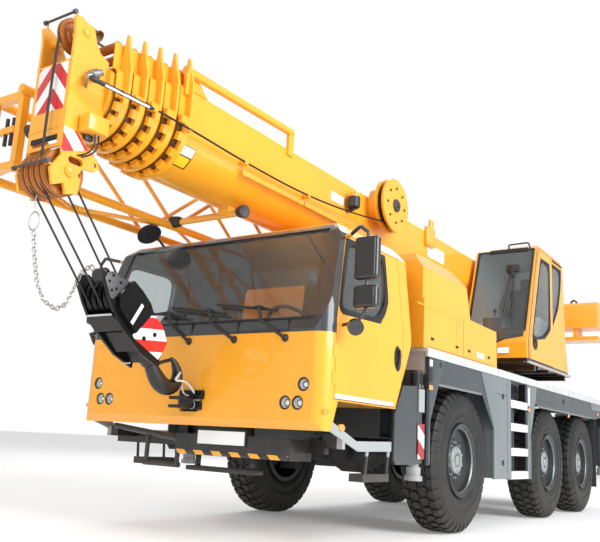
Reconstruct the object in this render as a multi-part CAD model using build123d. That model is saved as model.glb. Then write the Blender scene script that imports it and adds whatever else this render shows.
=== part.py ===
from build123d import *
import os
from math import cos, degrees, radians, sin, sqrt

# Three-axle all-terrain mobile crane, millimetres. X forward, Y to the left, Z up.
# The origin is on the ground, midway between the boom head and the rear bumper.

# ---- driving dimensions -------------------------------------------------------------
HALF_LENGTH = 5512
HALF_WIDTH = 1270
GAP = 6
AXLES = (1100, -1800, -3450)
TYRE_R, TYRE_W, RIM_R = 685, 385, 317
TRACK_Y = 1048
KINGPIN_Y = 880
SIDES = (("left", 1), ("right", -1))
DECK_TOP, DECK_EDGE_H = 1675, 79
DOOR_HINGE_X = 3612
SLEW_X = -1650
RING_TOP = 1790
PIVOT_X, PIVOT_Z = -3900, 3000
BOOM_HALF_W, BOOM_TOP, BOOM_ARC_Z = 350, 3390, 3085
STEP_IN, BOOM_WALL = 24, 8
BASE_FRONT, COLLAR_PITCH, COLLAR_T = 4510, 134, 46
BOOM_REAR = -3350
SECTIONS = 5
SHEAVE_X, SHEAVE_Z, SHEAVE_R = 5290, 2440, 160
TOP_SHEAVE_X, TOP_SHEAVE_Z, TOP_SHEAVE_R = 5287, 3445, 131
HEAD_Y, HEAD_T = 160, 24
FALL_TILT, BLOCK_TILT, FALL = 42, 48, 950
BLOCK_SHEAVE_R = 130
HOOK_HALF, HOOK_BEVEL = 46, 16
RIB_T = 24
TILT_AXIS_X, TILT_AXIS_Z = -2770, 1915
CYL_FOOT = (-2700, 2030)
CYL_EYE = (600, 2600)
CYL_BARREL = 2950
WINCH = (-3300, 2450)
ROPE_Z, REAR_STEP = 3510, 40
BEAM_W, BEAM_H, BEAM_Z = 190, 230, 985
# station name, x of the left beam, x of the right beam
STATIONS = (("front", 2120, 2370), ("rear", -4760, -5010))
JACK_Y, TUBE_R = 1190, 66
TUNNEL_HALF = 1040


# ---- helpers ------------------------------------------------------------------------
def save(shape, name):
    export_step(shape, f"parts/{name}.step")


def box(x0, x1, y0, y1, z0, z1):
    low = Location(((x0 + x1) / 2, (y0 + y1) / 2, (z0 + z1) / 2))
    return low * Box(abs(x1 - x0), abs(y1 - y0), abs(z1 - z0))


def rod(radius, start, end):
    """Round bar from one point to another."""
    a, b = Vector(*start), Vector(*end)
    plane = Plane(origin=a, z_dir=b - a)
    return extrude(plane * Circle(radius), (b - a).length)


def side_plate(points, y0, y1):
    """Flat plate whose outline is given in X and Z, between two Y values."""
    face = make_face(Plane.XZ * Polyline(*points, close=True))
    return Location((0, y0, 0)) * extrude(face, y1 - y0, dir=(0, 1, 0))


def plan_plate(points, z0, z1):
    """Flat plate whose outline is given in X and Y, between two heights."""
    face = make_face(Plane.XY * Polyline(*points, close=True))
    return Location((0, 0, z0)) * extrude(face, z1 - z0, dir=(0, 0, 1))


def cross_plate(points, x0, x1):
    """Flat plate whose outline is given in Y and Z, between two X values."""
    face = make_face(Plane.YZ * Polyline(*points, close=True))
    return Location((x0, 0, 0)) * extrude(face, x1 - x0, dir=(1, 0, 0))


def y_disc(radius, x, z, y0, y1):
    return rod(radius, (x, min(y0, y1), z), (x, max(y0, y1), z))


def mirrored(shape):
    return mirror(shape, about=Plane.XZ)


def both_sides(shape):
    return shape + mirrored(shape)


def turned(profile, x, z, side):
    """Revolve a profile of (distance out along Y, radius) round an axle's line."""
    face = make_face(Plane.YZ * Polyline(*profile, close=True))
    solid = revolve(face, Axis.Y, 360)
    solid = Location((x, 0, z)) * solid
    return solid if side > 0 else mirrored(solid)


# ---- wheels, knuckles and axles -----------------------------------------------------
def tyre(x, side):
    inner, outer = TRACK_Y - TYRE_W / 2, TRACK_Y + TYRE_W / 2
    profile = (
        (inner + 42, RIM_R + 3),
        (inner + 38, RIM_R + 42),
        (inner + 8, RIM_R + 75),
        (inner, RIM_R + 170),
        (inner + 16, TYRE_R - 60),
        (inner + 45, TYRE_R - 12),
        (TRACK_Y - 70, TYRE_R),
        (TRACK_Y + 70, TYRE_R),
        (outer - 45, TYRE_R - 12),
        (outer - 16, TYRE_R - 60),
        (outer, RIM_R + 170),
        (outer - 8, RIM_R + 75),
        (outer - 38, RIM_R + 42),
        (outer - 42, RIM_R + 3),
        (outer - 66, RIM_R + 40),
        (outer - 40, RIM_R + 170),
        (outer - 70, TYRE_R - 60),
        (inner + 70, TYRE_R - 60),
        (inner + 40, RIM_R + 170),
        (inner + 66, RIM_R + 40),
    )
    return turned(profile, x, TYRE_R, side)


def rim(x, side):
    inner, outer = TRACK_Y - TYRE_W / 2, TRACK_Y + TYRE_W / 2
    profile = (
        (inner + 12, RIM_R + 32),
        (inner + 12, RIM_R - 12),
        (outer - 120, RIM_R - 30),
        (outer - 132, RIM_R - 70),
        (outer - 150, 205),
        (outer - 190, 190),
        (outer - 190, 100),
        (985, 100),
        (985, 0),
        (outer - 66, 0),
        (outer - 66, 70),
        (outer - 80, 118),
        (outer - 112, 150),
        (outer - 128, 190),
        (outer - 110, 225),
        (outer - 104, RIM_R - 62),
        (outer - 90, RIM_R - 20),
        (outer - 26, RIM_R - 6),
        (outer - 14, RIM_R + 33),
        (outer - 30, RIM_R + 36),
        (outer - 34, RIM_R + 2),
        (inner + 34, RIM_R + 2),
        (inner + 28, RIM_R + 36),
    )
    return turned(profile, x, TYRE_R, side)


def knuckle(x, side):
    """Steering knuckle: kingpin barrel, spindle into the hub and a steering arm."""
    barrel = rod(66, (x, KINGPIN_Y, TYRE_R - 140), (x, KINGPIN_Y, TYRE_R + 140))
    spindle = y_disc(62, x, TYRE_R, KINGPIN_Y, 979)
    flange = y_disc(92, x, TYRE_R, 955, 979)
    arm = box(x - 230, x, KINGPIN_Y - 24, KINGPIN_Y + 24, TYRE_R - 95, TYRE_R - 60)
    eye = rod(30, (x - 230, KINGPIN_Y, TYRE_R - 105), (x - 230, KINGPIN_Y, TYRE_R - 50))
    made = barrel + spindle + flange + arm + eye
    return made if side > 0 else mirrored(made)


def axle_beam(x):
    """Driven axle: tube, differential housing and a forked end at each kingpin."""
    tube = y_disc(88, x, TYRE_R, -770, 770)
    case = y_disc(190, x, TYRE_R, -120, 120)
    cones = loft([
        Plane((x, 120, TYRE_R), z_dir=(0, 1, 0)) * Circle(185),
        Plane((x, 330, TYRE_R), z_dir=(0, 1, 0)) * Circle(90),
    ])
    made = tube + case + both_sides(cones)
    nose = rod(95, (x, 0, TYRE_R), (x + 300, 0, TYRE_R + 20))
    fork = box(x - 70, x + 70, 700, 770, TYRE_R - 200, TYRE_R + 200)
    for z0, z1 in ((146, 200), (-200, -146)):
        fork += box(x - 62, x + 62, 760, KINGPIN_Y, TYRE_R + z0, TYRE_R + z1)
        fork += rod(62, (x, KINGPIN_Y, TYRE_R + z0), (x, KINGPIN_Y, TYRE_R + z1))
    spring = rod(52, (x, 470, TYRE_R + 60), (x, 470, TYRE_R + 330))
    spring += rod(66, (x, 470, TYRE_R + 330), (x, 470, TYRE_R + 640))
    return made + nose + both_sides(fork + spring)


# ---- chassis ------------------------------------------------------------------------
def chassis_frame():
    """Welded box frame with tapered nose, outrigger tunnels and slewing-ring tower."""
    spine = side_plate(
        (
            (-HALF_LENGTH + 140, 1060),
            (-HALF_LENGTH + 140, 1420),
            (2020, 1420),
            (2440, 1085),
            (3380, 1085),
            (3380, 760),
            (2900, 760),
            (1700, 930),
            (-5150, 930),
        ),
        -390,
        390,
    )
    for x in AXLES:
        spine -= y_disc(215, x, TYRE_R + 60, -400, 400)
        spine -= box(x - 215, x + 215, -400, 400, 600, TYRE_R + 60)
        spine -= box(x, x + 330, -130, 130, 600, TYRE_R + 160)
    tower = rod(760, (SLEW_X, 0, 1400), (SLEW_X, 0, 1600))
    ring = rod(830, (SLEW_X, 0, 1600), (SLEW_X, 0, RING_TOP - 50))
    made = spine + tower + ring
    for _, left_x, right_x in STATIONS:
        low, high = min(left_x, right_x) - 115, max(left_x, right_x) + 115
        tunnel = box(low, high, -TUNNEL_HALF, TUNNEL_HALF, BEAM_Z - 135, BEAM_Z + 135)
        made += tunnel
    for _, left_x, right_x in STATIONS:
        for x in (left_x, right_x):
            made -= box(
                x - BEAM_W / 2 - GAP,
                x + BEAM_W / 2 + GAP,
                -TUNNEL_HALF - 10,
                TUNNEL_HALF + 10,
                BEAM_Z - BEAM_H / 2 - GAP,
                BEAM_Z + BEAM_H / 2 + GAP,
            )
    for x in AXLES:
        for y in (470, -470):
            made -= rod(75, (x, y, 900), (x, y, 1500))
            perch = rod(86, (x, y, 1330), (x, y, 1420)) - rod(72, (x, y, 1300), (x, y, 1500))
            made += perch - box(x - 90, x + 90, -389, 389, 1300, 1440)
    return made


def beam(x, side):
    """Outrigger beam with the jack tube on its outer end."""
    z0, z1 = BEAM_Z - BEAM_H / 2, BEAM_Z + BEAM_H / 2
    made = box(x - BEAM_W / 2, x + BEAM_W / 2, -1010, JACK_Y, z0, z1)
    made += rod(TUBE_R, (x, JACK_Y, 650), (x, JACK_Y, 1455))
    made += box(x - TUBE_R, x + TUBE_R, JACK_Y - 100, JACK_Y, 650, 1455)
    made -= rod(TUBE_R - 14, (x, JACK_Y, 640), (x, JACK_Y, 1390))
    return made if side > 0 else mirrored(made)


def jack(x, side):
    """Jack leg inside its tube, with the round float pad it stands on."""
    leg = rod(TUBE_R - 20, (x, JACK_Y, 560), (x, JACK_Y, 1370))
    socket = rod(TUBE_R - 4, (x, JACK_Y, 545), (x, JACK_Y, 620))
    pad = rod(78, (x, JACK_Y, 505), (x, JACK_Y, 547))
    made = leg + socket + pad
    return made if side > 0 else mirrored(made)


def deck():
    """Walking deck with its folded edge strips, a ring opening and the rear steps."""
    top = DECK_TOP
    plate = box(-5400, 2030, -HALF_WIDTH, HALF_WIDTH, top - 34, top)
    edge = box(-5400, 2030, HALF_WIDTH - 26, HALF_WIDTH, top - DECK_EDGE_H, top)
    made = plate + both_sides(edge)
    made += box(-5400, -5374, -HALF_WIDTH, HALF_WIDTH, top - DECK_EDGE_H, top)
    made -= rod(880, (SLEW_X, 0, 1500), (SLEW_X, 0, 1800))
    for x0, x1 in ((-380, 1900),):
        made -= box(x0, x1, -620, 620, 1500, 1800)
    for x in (1950, 250, -2625, -4200, -5200):
        made += both_sides(box(x - 30, x + 30, 391, 1216, 1440, top - 33))
    return made


def side_lockers(side):
    """Grey side panels with the two wheel arches, the locker and the step recess."""
    y0, y1 = 1246, 1262
    top = DECK_TOP - DECK_EDGE_H - 2
    front = side_plate(
        (
            (2600, 640),
            (2640, 690),
            (2640, 1040),
            (2500, 1290),
            (2210, 1310),
            (1995, 1310),
            (1995, top),
            (-190, top),
            (-190, 500),
            (330, 500),
            (330, 1010),
            (655, 1352),
            (1880, 1352),
            (1955, 1300),
            (1955, 640),
        ),
        y0,
        y1,
    )
    locker = box(-180, 320, 560, y0, 510, 1400)
    ladder_posts = box(-232, -196, 1150, y1, 492, top)
    ladder_posts += box(-862, -826, 1150, y1, 492, top)
    treads = None
    for z in (1330, 1070, 795, 540):
        step = box(-826, -232, 1080, y1, z - 45, z + 45)
        step -= box(-800, -258, 1100, y1 - 16, z - 35, z + 35)
        treads = step if treads is None else treads + step
    rear = side_plate(
        (
            (-866, 492),
            (-866, top),
            (-5374, top),
            (-5374, 1500),
            (-4120, 1352),
            (-1330, 1346),
            (-1120, 1400),
            (-930, 1000),
            (-930, 492),
        ),
        y0,
        y1,
    )
    back = box(-862, -196, 1050, 1081, 492, top) + box(2500, 2600, 391, y1, 1120, 1136)
    made = front + locker + ladder_posts + treads + rear + back
    made += box(-180, 320, 391, 561, 1180, 1300) + box(-196, -170, 1050, y1, 492, top)
    for _, left_x, right_x in STATIONS:
        x = left_x if side > 0 else right_x
        made -= box(x - 104, x + 104, 1000, 1300, 480, 1478)
    return made if side > 0 else mirrored(made)


def engine_block():
    return box(520, 1760, -330, 330, 1425, 2000)


def hood_body(inset):
    """Hood envelope: a full-width lower body and a narrower raised front part."""
    i = inset
    base = DECK_TOP - (100 if i else 0)
    lower = side_plate(
        ((2065 - i, base), (2065 - i, 2128 - i), (1560, 2110 - i), (190 + i, 2085 - i), (165 + i, base)),
        -1240 + i,
        1240 - i,
    )
    upper = side_plate(
        (
            (2065 - i, base),
            (2065 - i, 2500 - i),
            (2015 - i, 2575 - i),
            (1180, 2572 - i),
            (1020 + i, 2450),
            (905 + i, 2105),
            (905 + i, base),
        ),
        -1222 + i,
        1222 - i,
    )
    w = 1222 - i
    upper &= cross_plate(
        ((-w, 1500), (-w, 2420), (-w + 110, 2580), (w - 110, 2580), (w, 2420), (w, 1500)), 0, 2400
    )
    return lower + upper


def engine_hood():
    """Hood over the engine, hollow, open below, with louvre slots in its raised rear wall."""
    made = hood_body(0) - hood_body(30)
    for step in range(6):
        z = 2160 + 44 * step
        made -= box(880, 1060, -900, 900, z, z + 22)
    return made


def front_bumper():
    """Centre cross beam with tubular steps, side rails under the doors and boarding steps."""
    made = box(3381, 3440, -1100, 1100, 700, 800)
    made += box(3400, 3690, -160, 960, 640, 798) - box(3330, 3660, -130, 930, 660, 780)
    for y in (270, -370):
        made += box(3383, 3438, y, y + 100, 640, 1080)
    made += box(3436, 3662, -898, -868, 752, 812)
    step_tubes = rod(24, (3660, -900, 835), (3660, -140, 756))
    for y in (-500, -158):
        step_tubes += rod(19, (3660, y, 742 - y / 10), (3660, y, 556))
    step_tubes += rod(22, (3660, -524, 550), (3660, -134, 550))
    made += step_tubes
    made += both_sides(box(3398, 3436, 1080, 1249, 745, 832))
    rail = side_plate(
        ((3600, 938), (3234, 808), (2662, 820), (2662, 742), (3198, 733), (3600, 862)), 1236, 1250
    )
    step = box(2665, 3090, 1110, 1235, 505, 565) - box(2680, 3075, 1125, 1220, 500, 555)
    for x in (2700, 3050):
        step += rod(13, (x, 1242, 750), (x, 1225, 552))
    return made + both_sides(rail + step)


def coupling():
    """Front towing jaw with its upright pin."""
    jaw = box(3381, 3900, -75, 75, 990, 1080) - box(3790, 3910, -80, 80, 1015, 1055)
    jaw += box(3381, 3470, -380, 380, 990, 1080)
    return jaw - rod(22, (3850, 0, 900), (3850, 0, 1300))


def rear_bumper():
    """Rear cross beam with lamp boxes and a towing jaw."""
    x = -HALF_LENGTH
    made = box(x + 60, x + 141, -1230, 1230, 1080, 1330)
    made += both_sides(box(x + 20, x + 60, 820, 1200, 1110, 1290))
    jaw = box(x, x + 60, -90, 90, 1100, 1280)
    made += jaw
    made += both_sides(box(x + 141, x + 200, 900, 1000, 1250, 1640))
    made += both_sides(box(x + 139, x + 200, 860, 1040, 1250, 1300))
    return made


# ---- driver's cab -------------------------------------------------------------------
def cab_body(inset):
    """Cab envelope: side outline, cross outline and plan outline crossed together."""
    i = inset
    outline = side_plate(
        (
            (2650 + i, 1085 + i),
            (3560, 1085 + i),
            (3640, 865 + i),
            (3700 - i, 865 + i),
            (3744 - i, 930 + i * 0.5),
            (3744 - i, 1600),
            (3724 - i, 1700),
            (3490 - i, 2410 - i * 0.5),
            (3400 - i, 2490 - i),
            (2430 + i, 2505 - i),
            (2385 + i, 2460 - i),
            (2385 + i, 1640),
        ),
        -1300,
        1300,
    )
    w = HALF_WIDTH - i
    cross = cross_plate(
        (
            (-w, 800),
            (-w, 1720),
            (-w + 75, 2390 - i * 0.6),
            (-w + 190, 2506 - i),
            (w - 190, 2506 - i),
            (w - 75, 2390 - i * 0.6),
            (w, 1720),
            (w, 800),
        ),
        2300,
        3900,
    )
    corner = 125 - i * 0.5
    plan = plan_plate(((2300, -w), (3744 - i, -w), (3744 - i, w), (2300, w)), 700, 2600)
    uprights = plan.edges().filter_by(Axis.Z).group_by(Axis.X)[-1]
    plan = fillet(uprights, corner)
    return outline & cross & plan


def door_prism(grow, side):
    g = grow
    points = (
        (2545 - g, 1320 - g * 0.5),
        (2655 - g, 1100 - g),
        (3615 + g, 1100 - g),
        (3615 + g, 1715),
        (3425 + g, 2380 + g),
        (2545 - g, 2380 + g),
    )
    prism = side_plate(points, 1000, 1400)
    prism -= box(2400, 3800, 900, 1220 - g, 1000, 1142 - g)
    prism -= box(2400, 2760, 900, 1220 - g, 1000, 1700)
    return prism if side > 0 else mirrored(prism)


def door_window(grow, side):
    g = grow
    points = (
        (2800 - g, 1960),
        (2950, 1775 - g),
        (3530 + g, 1755 - g),
        (3560 + g, 1790),
        (3400 + g, 2330 + g),
        (2800 - g, 2330 + g),
    )
    prism = side_plate(points, 1000, 1400)
    return prism if side > 0 else mirrored(prism)


def windscreen_prism(grow):
    g = grow
    points = ((-1140 - g, 1690 - g), (1140 + g, 1690 - g), (1080 + g, 2440 + g), (-1080 - g, 2440 + g))
    return cross_plate(points, 3300, 3900)


def rear_window_prism(grow):
    g = grow
    points = ((-700 - g, 1800 - g), (700 + g, 1800 - g), (700 + g, 2250 + g), (-700 - g, 2250 + g))
    return cross_plate(points, 2300, 2600)


def driver_cab(shell):
    made = shell
    for _, side in SIDES:
        made -= door_prism(GAP, side)
    made -= windscreen_prism(0) + rear_window_prism(0)
    pocket = box(3560, 3760, -95, 95, 970, 1100)
    made -= pocket
    made += box(2710, 3560, -1190, 1190, 1128, 1150)
    for _, side in SIDES:
        for z in (1200, 1400):
            hinge = rod(9, (DOOR_HINGE_X, 1268, z), (DOOR_HINGE_X, 1268, z + 90))
            hinge += box(DOOR_HINGE_X + 5, DOOR_HINGE_X + 40, 1250, 1272, z, z + 90)
            made += hinge if side > 0 else mirrored(hinge)
        for y, z in ((1085, 1190), (1040, 1056), (930, 1056)):
            made -= rod(52, (3700, side * y, z), (3800, side * y, z))
    return made


def driver_door(shell, side):
    door = (shell & door_prism(0, side)) - door_window(0, side) + mirror_set(side)
    for z in (1200, 1400):
        door -= rod(12, (DOOR_HINGE_X, side * 1268, z - 3), (DOOR_HINGE_X, side * 1268, z + 93))
    return door


def cab_interior():
    """Dashboard, two seats on plinths and the steering wheel on its column."""
    dash = side_plate(
        ((3440, 1160), (3640, 1200), (3640, 1640), (3560, 1690), (3380, 1600), (3330, 1480)),
        -1120,
        1120,
    )
    made = dash
    for y in (620, -620):
        made += box(2760, 3160, y - 200, y + 200, 1156, 1400)
        seat = box(2720, 3200, y - 250, y + 250, 1390, 1520)
        back = side_plate(
            ((2720, 1500), (2830, 1500), (2730, 2190), (2640, 2190)), y - 235, y + 235
        )
        made += seat + back
    column = rod(30, (3400, 620, 1560), (3270, 620, 1700))
    made += column
    return made


def steering_wheel():
    hoop = Torus(205, 16)
    spin = Location(Plane((3270, 620, 1700), z_dir=(-130, 0, 140)))
    return spin * hoop


def rounded_box(x0, x1, y0, y1, z0, z1, radius):
    return fillet(box(x0, x1, y0, y1, z0, z1).edges(), radius)


def mirror_set(side):
    """Mirror arm on the door's top front corner, with tall, square and kerb heads."""
    arm = rod(15, (3400, 1185, 2350), (3550, 1400, 2390))
    arm += rod(15, (3550, 1400, 2390), (3540, 1462, 2340))
    arm += rod(13, (3540, 1462, 2350), (3540, 1462, 1730))
    arm += rod(13, (3540, 1462, 1735), (3560, 1405, 1660))
    arm += rod(13, (3560, 1405, 1660), (3535, 1240, 1640))
    heads = rounded_box(3500, 3575, 1362, 1562, 1975, 2305, 28)
    heads += rounded_box(3500, 3575, 1362, 1562, 1760, 1932, 28)
    kerb = rod(60, (3568, 1392, 1628), (3598, 1420, 1608))
    made = arm + heads + kerb
    return made if side > 0 else mirrored(made)


# ---- superstructure -----------------------------------------------------------------
def turntable():
    """Slewing platform: ring disc, two boom side plates, cylinder lugs and rear arms."""
    base = rod(800, (SLEW_X, 0, RING_TOP - 44), (SLEW_X, 0, RING_TOP + 60))
    floor = plan_plate(
        ((-3400, -398), (-3400, 398), (-900, 398), (-880, -640), (-3200, -640)),
        RING_TOP + 10,
        RING_TOP + 62,
    )
    cheek = side_plate(
        (
            (-900, 1800),
            (-900, 1960),
            (-1500, 2240),
            (-3350, 2760),
            (-3620, 3080),
            (-3800, 3180),
            (-4000, 3180),
            (-4120, 3060),
            (-4120, 2990),
            (-4480, 2960),
            (-4480, 2700),
            (-4080, 2640),
            (-3520, 2200),
            (-3400, 2000),
            (-3400, 1800),
        ),
        362,
        398,
    )
    cheek -= side_plate(
        ((-1700, 1980), (-1700, 2120), (-2900, 2460), (-2960, 2200), (-2700, 1980)), 350, 410
    )
    made = base + floor + both_sides(cheek)
    x, z = CYL_FOOT
    lug = box(x - 110, x + 110, 112, 150, RING_TOP + 20, z) + y_disc(110, x, z, 112, 150)
    made += both_sides(lug) + y_disc(50, x, z, -160, 160)
    made += y_disc(44, PIVOT_X, PIVOT_Z, -415, 415)
    made -= both_sides(y_disc(42, WINCH[0], WINCH[1], 350, 410))
    platform = plan_plate(
        ((-2760, 398), (-2760, 1268), (-900, 1268), (-880, 1200), (-880, 398)), 1862, 1896
    )
    ribs = box(-2600, -2540, 398, 1240, RING_TOP + 12, 1863)
    ribs += box(-1240, -1180, 398, 1240, RING_TOP + 12, 1863)
    for y0, y1 in ((460, 560), (1080, 1180)):
        platform += box(-2786, -2756, y0, y1, 1862, TILT_AXIS_Z)
        platform += y_disc(14, TILT_AXIS_X, TILT_AXIS_Z, y0, y1)
    return made + platform + ribs


def winch_drum():
    """Hoist drum with its flanges, wound width and bearing shafts."""
    x, z = WINCH
    made = y_disc(168, x, z, -230, 230)
    for y in (-245, 225):
        made += y_disc(236, x, z, y, y + 20)
    made += y_disc(40, x, z, -396, 396)
    return made


def counterweight():
    """Ballast beam hung on the rear arms, over a lower plate."""
    main = side_plate(
        (
            (-4486, 2850),
            (-4486, 3230),
            (-4540, 3280),
            (-4850, 3280),
            (-4900, 3230),
            (-4900, 2850),
        ),
        -HALF_WIDTH,
        HALF_WIDTH,
    )
    plate = box(-4900, -4486, -HALF_WIDTH, HALF_WIDTH, 2650, 2710)
    webs = None
    for y in (-900, -300, 300, 900):
        web = box(-4860, -4520, y - 30, y + 30, 2709, 2851)
        webs = web if webs is None else webs + web
    return main + plate + webs


def crane_cab_body(inset):
    i = inset
    outline = side_plate(
        (
            (-900 - i, 1905 + i),
            (-890 - i, 2120),
            (-1372 - i, 3440 - i * 0.5),
            (-1440 - i, 3490 - i),
            (-2540 + i, 3478 - i),
            (-2575 + i, 3440 - i),
            (-2645 + i, 2375),
            (-2750 + i, 1990),
            (-2750 + i, 1905 + i),
        ),
        300,
        1300,
    )
    y0, y1 = 412 + i, 1236 - i
    cross = cross_plate(
        (
            (y0, 1800),
            (y0, 3430 - i),
            (y0 + 50, 3500 - i),
            (y1 - 50, 3500 - i),
            (y1, 3430 - i),
            (y1, 1800),
        ),
        -2900,
        -700,
    )
    return outline & cross


def crane_door_opening(grow):
    g = grow
    return side_plate(
        (
            (-1000 + g, 1950 - g),
            (-985 + g, 2150),
            (-1400 + g, 3380 + g),
            (-1900 - g, 3380 + g),
            (-1900 - g, 1950 - g),
        ),
        1150,
        1300,
    )


def crane_side_window(grow):
    g = grow
    return side_plate(
        (
            (-1045 + g, 2215),
            (-1120, 2200 - g),
            (-1560, 2270 - g),
            (-1810 - g, 2420),
            (-1810 - g, 3290 + g),
            (-1430 + g, 3290 + g),
        ),
        1150,
        1300,
    )


def crane_rear_side_window(grow):
    g = grow
    return side_plate(
        (
            (-1950 + g, 2480 - g),
            (-2050, 2520 - g),
            (-2320 - g, 2800 - g),
            (-2440 - g, 3100),
            (-2480 - g, 3350 + g),
            (-1950 + g, 3350 + g),
        ),
        1150,
        1300,
    )


def crane_front_window(grow):
    g = grow
    return cross_plate(
        (
            (462 - g, 2110 - g),
            (700, 2080 - g),
            (860, 2150 - g),
            (1186 + g, 2200 - g),
            (1186 + g, 3420 + g),
            (462 - g, 3420 + g),
        ),
        -1420,
        -800,
    )


def crane_cab(shell):
    made = shell - crane_door_opening(0) - crane_front_window(0) - crane_rear_side_window(0)
    made += box(-2580, -1890, 1236, 1242, 1925, 1945)
    return made


def crane_door():
    panel = crane_door_opening(24) & box(-3000, -800, 1243, 1268, 1800, 3500)
    return panel - crane_side_window(0)


def crane_seat():
    """Operator's seat on its console with two armrest boxes."""
    made = box(-2250, -1750, 620, 1040, 1952, 2280) + box(-2280, -1730, 590, 1070, 2275, 2400)
    made += side_plate(((-2280, 2390), (-2150, 2390), (-2230, 3050), (-2330, 3050)), 600, 1060)
    for y in (545, 1115):
        made += box(-2050, -1650, y - 35, y + 35, 1952, 2560)
    return made


def cylinder_barrel():
    """Luffing cylinder barrel with its foot eye and gland ring."""
    foot, eye = Vector(CYL_FOOT[0], 0, CYL_FOOT[1]), Vector(CYL_EYE[0], 0, CYL_EYE[1])
    along = (eye - foot).normalized()
    made = rod(140, foot + along * 120, foot + along * (CYL_BARREL - 60))
    made += rod(158, foot + along * (CYL_BARREL - 130), foot + along * CYL_BARREL)
    made += y_disc(112, CYL_FOOT[0], CYL_FOOT[1], -105, 105)
    made += rod(90, foot, foot + along * 140)
    made -= rod(90, foot + along * 220, foot + along * (CYL_BARREL + 10))
    made -= y_disc(52, CYL_FOOT[0], CYL_FOOT[1], -120, 120)
    return made


def cylinder_rod():
    foot, eye = Vector(CYL_FOOT[0], 0, CYL_FOOT[1]), Vector(CYL_EYE[0], 0, CYL_EYE[1])
    along = (eye - foot).normalized()
    made = rod(84, foot + along * 230, eye - along * 60)
    made += y_disc(90, CYL_EYE[0], CYL_EYE[1], -86, 86)
    return made - y_disc(46, CYL_EYE[0], CYL_EYE[1], -90, 90)


# ---- boom ---------------------------------------------------------------------------
def section_face(index, inset):
    """Boom cross-section: flat sides and top, half-round belly."""
    b = BOOM_HALF_W - STEP_IN * index - inset
    top = BOOM_TOP - STEP_IN * index - inset
    r = 52
    k = r * (1 - sqrt(0.5))
    left, right = -b, b
    edges = [
        Line((left, BOOM_ARC_Z), (left, top - r)),
        ThreePointArc((left, top - r), (left + k, top - k), (left + r, top)),
        Line((left + r, top), (right - r, top)),
        ThreePointArc((right - r, top), (right - k, top - k), (right, top - r)),
        Line((right, top - r), (right, BOOM_ARC_Z)),
        ThreePointArc((right, BOOM_ARC_Z), (0, BOOM_ARC_Z - b), (left, BOOM_ARC_Z)),
    ]
    return make_face(Plane.YZ * Wire(edges))


def section_tube(index, x0, x1, outer=0, inner=BOOM_WALL):
    ring = section_face(index, outer) - section_face(index, inner)
    return Location((x0, 0, 0)) * extrude(ring, x1 - x0, dir=(1, 0, 0))


def collar(index):
    """Collar on a section's front end: toothed round the belly, ribs, ears and roller above."""
    x1 = BASE_FRONT + COLLAR_PITCH * index
    x0 = x1 - 2 * COLLAR_T
    b = BOOM_HALF_W - STEP_IN * index
    top = BOOM_TOP - STEP_IN * index
    belly = box(x0, x1, -b - 60, b + 60, BOOM_ARC_Z - b - 60, BOOM_ARC_Z + 30)
    made = section_tube(index, x0, x1 - COLLAR_T, outer=-44) & belly
    teeth = None
    for step in range(10):
        angle = radians(-180 + 20 * step)
        tooth = Location((x1 - 25, (b + 20) * cos(angle), BOOM_ARC_Z + (b + 20) * sin(angle))) * (
            Rotation(degrees(angle), 0, 0) * Box(50, 44, 62)
        )
        teeth = tooth if teeth is None else teeth + tooth
    made += teeth - section_tube(index, x0 - 100, x1 + 10, outer=0.5, inner=60)
    ear_top = 3618 - 12 * index
    rib = cross_plate(
        (
            (b - 2, 3070),
            (b + 44, 3070),
            (b + 56, 3140),
            (b + 56, top - 10),
            (b + 6, ear_top - 60),
            (b + 2, ear_top - 12),
            (b - 10, ear_top),
            (b - 22, ear_top - 12),
            (b - 26, ear_top - 60),
            (b - 70, top - 4),
            (b - 2, top - 60),
        ),
        x0,
        x0 + RIB_T,
    )
    cheek = box(x0, x0 + 92, b - 62, b - 52, top - 4, ROPE_Z - 12)
    made += both_sides(rib + cheek)
    made += y_disc(28, x0 + 60, ROPE_Z - 38, -b + 55, b - 55)
    return made + box(x0, x0 + RIB_T, -b, b, top - 4, top + 30)


def boom_base():
    made = section_tube(0, BOOM_REAR, BASE_FRONT) + collar(0)
    cheek = side_plate(
        (
            (-3340, 2740),
            (-3340, 3386),
            (-3700, 3330),
            (-3960, 3200),
            (-4060, 3000),
            (-3990, 2860),
            (-3700, 2800),
        ),
        312,
        350,
    )
    made += both_sides(cheek)
    made -= y_disc(46, PIVOT_X, PIVOT_Z, -360, 360)
    reel = y_disc(210, 1400, 3290, 350, 470) + y_disc(290, 1400, 3290, 470, 490)
    reel += y_disc(120, 1400, 3290, 480, 560) + y_disc(290, 1400, 3290, 560, 580)
    rail = rod(36, (4480, 352, 3500), (3060, 352, 3530))
    for x in (4440, 3080):
        rail += box(x - 40, x + 40, 343, 372, 3300, 3520)
    gusset_x = BASE_FRONT - 2 * COLLAR_T
    gusset = side_plate(
        ((gusset_x + 4, 3380), (gusset_x + 4, 3545), (gusset_x - 40, 3545), (gusset_x - 230, 3380)),
        318,
        334,
    )
    return made + reel + rail + both_sides(gusset)


def luffing_lugs():
    """Pair of lugs welded under the boom, which hold the luffing rod's eye pin."""
    x, z = CYL_EYE
    lug = side_plate(
        ((x - 260, 2800), (x - 90, z - 70), (x + 90, z - 70), (x + 260, 2800)), 94, 130
    )
    lug -= Location((x - 400, 0, 0)) * extrude(section_face(0, -0.2), 800, dir=(1, 0, 0))
    return both_sides(lug - y_disc(46, x, z, 80, 140))


def boom_section(index):
    x1 = BASE_FRONT + COLLAR_PITCH * index
    return section_tube(index, BOOM_REAR + REAR_STEP * index, x1) + collar(index)


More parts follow.
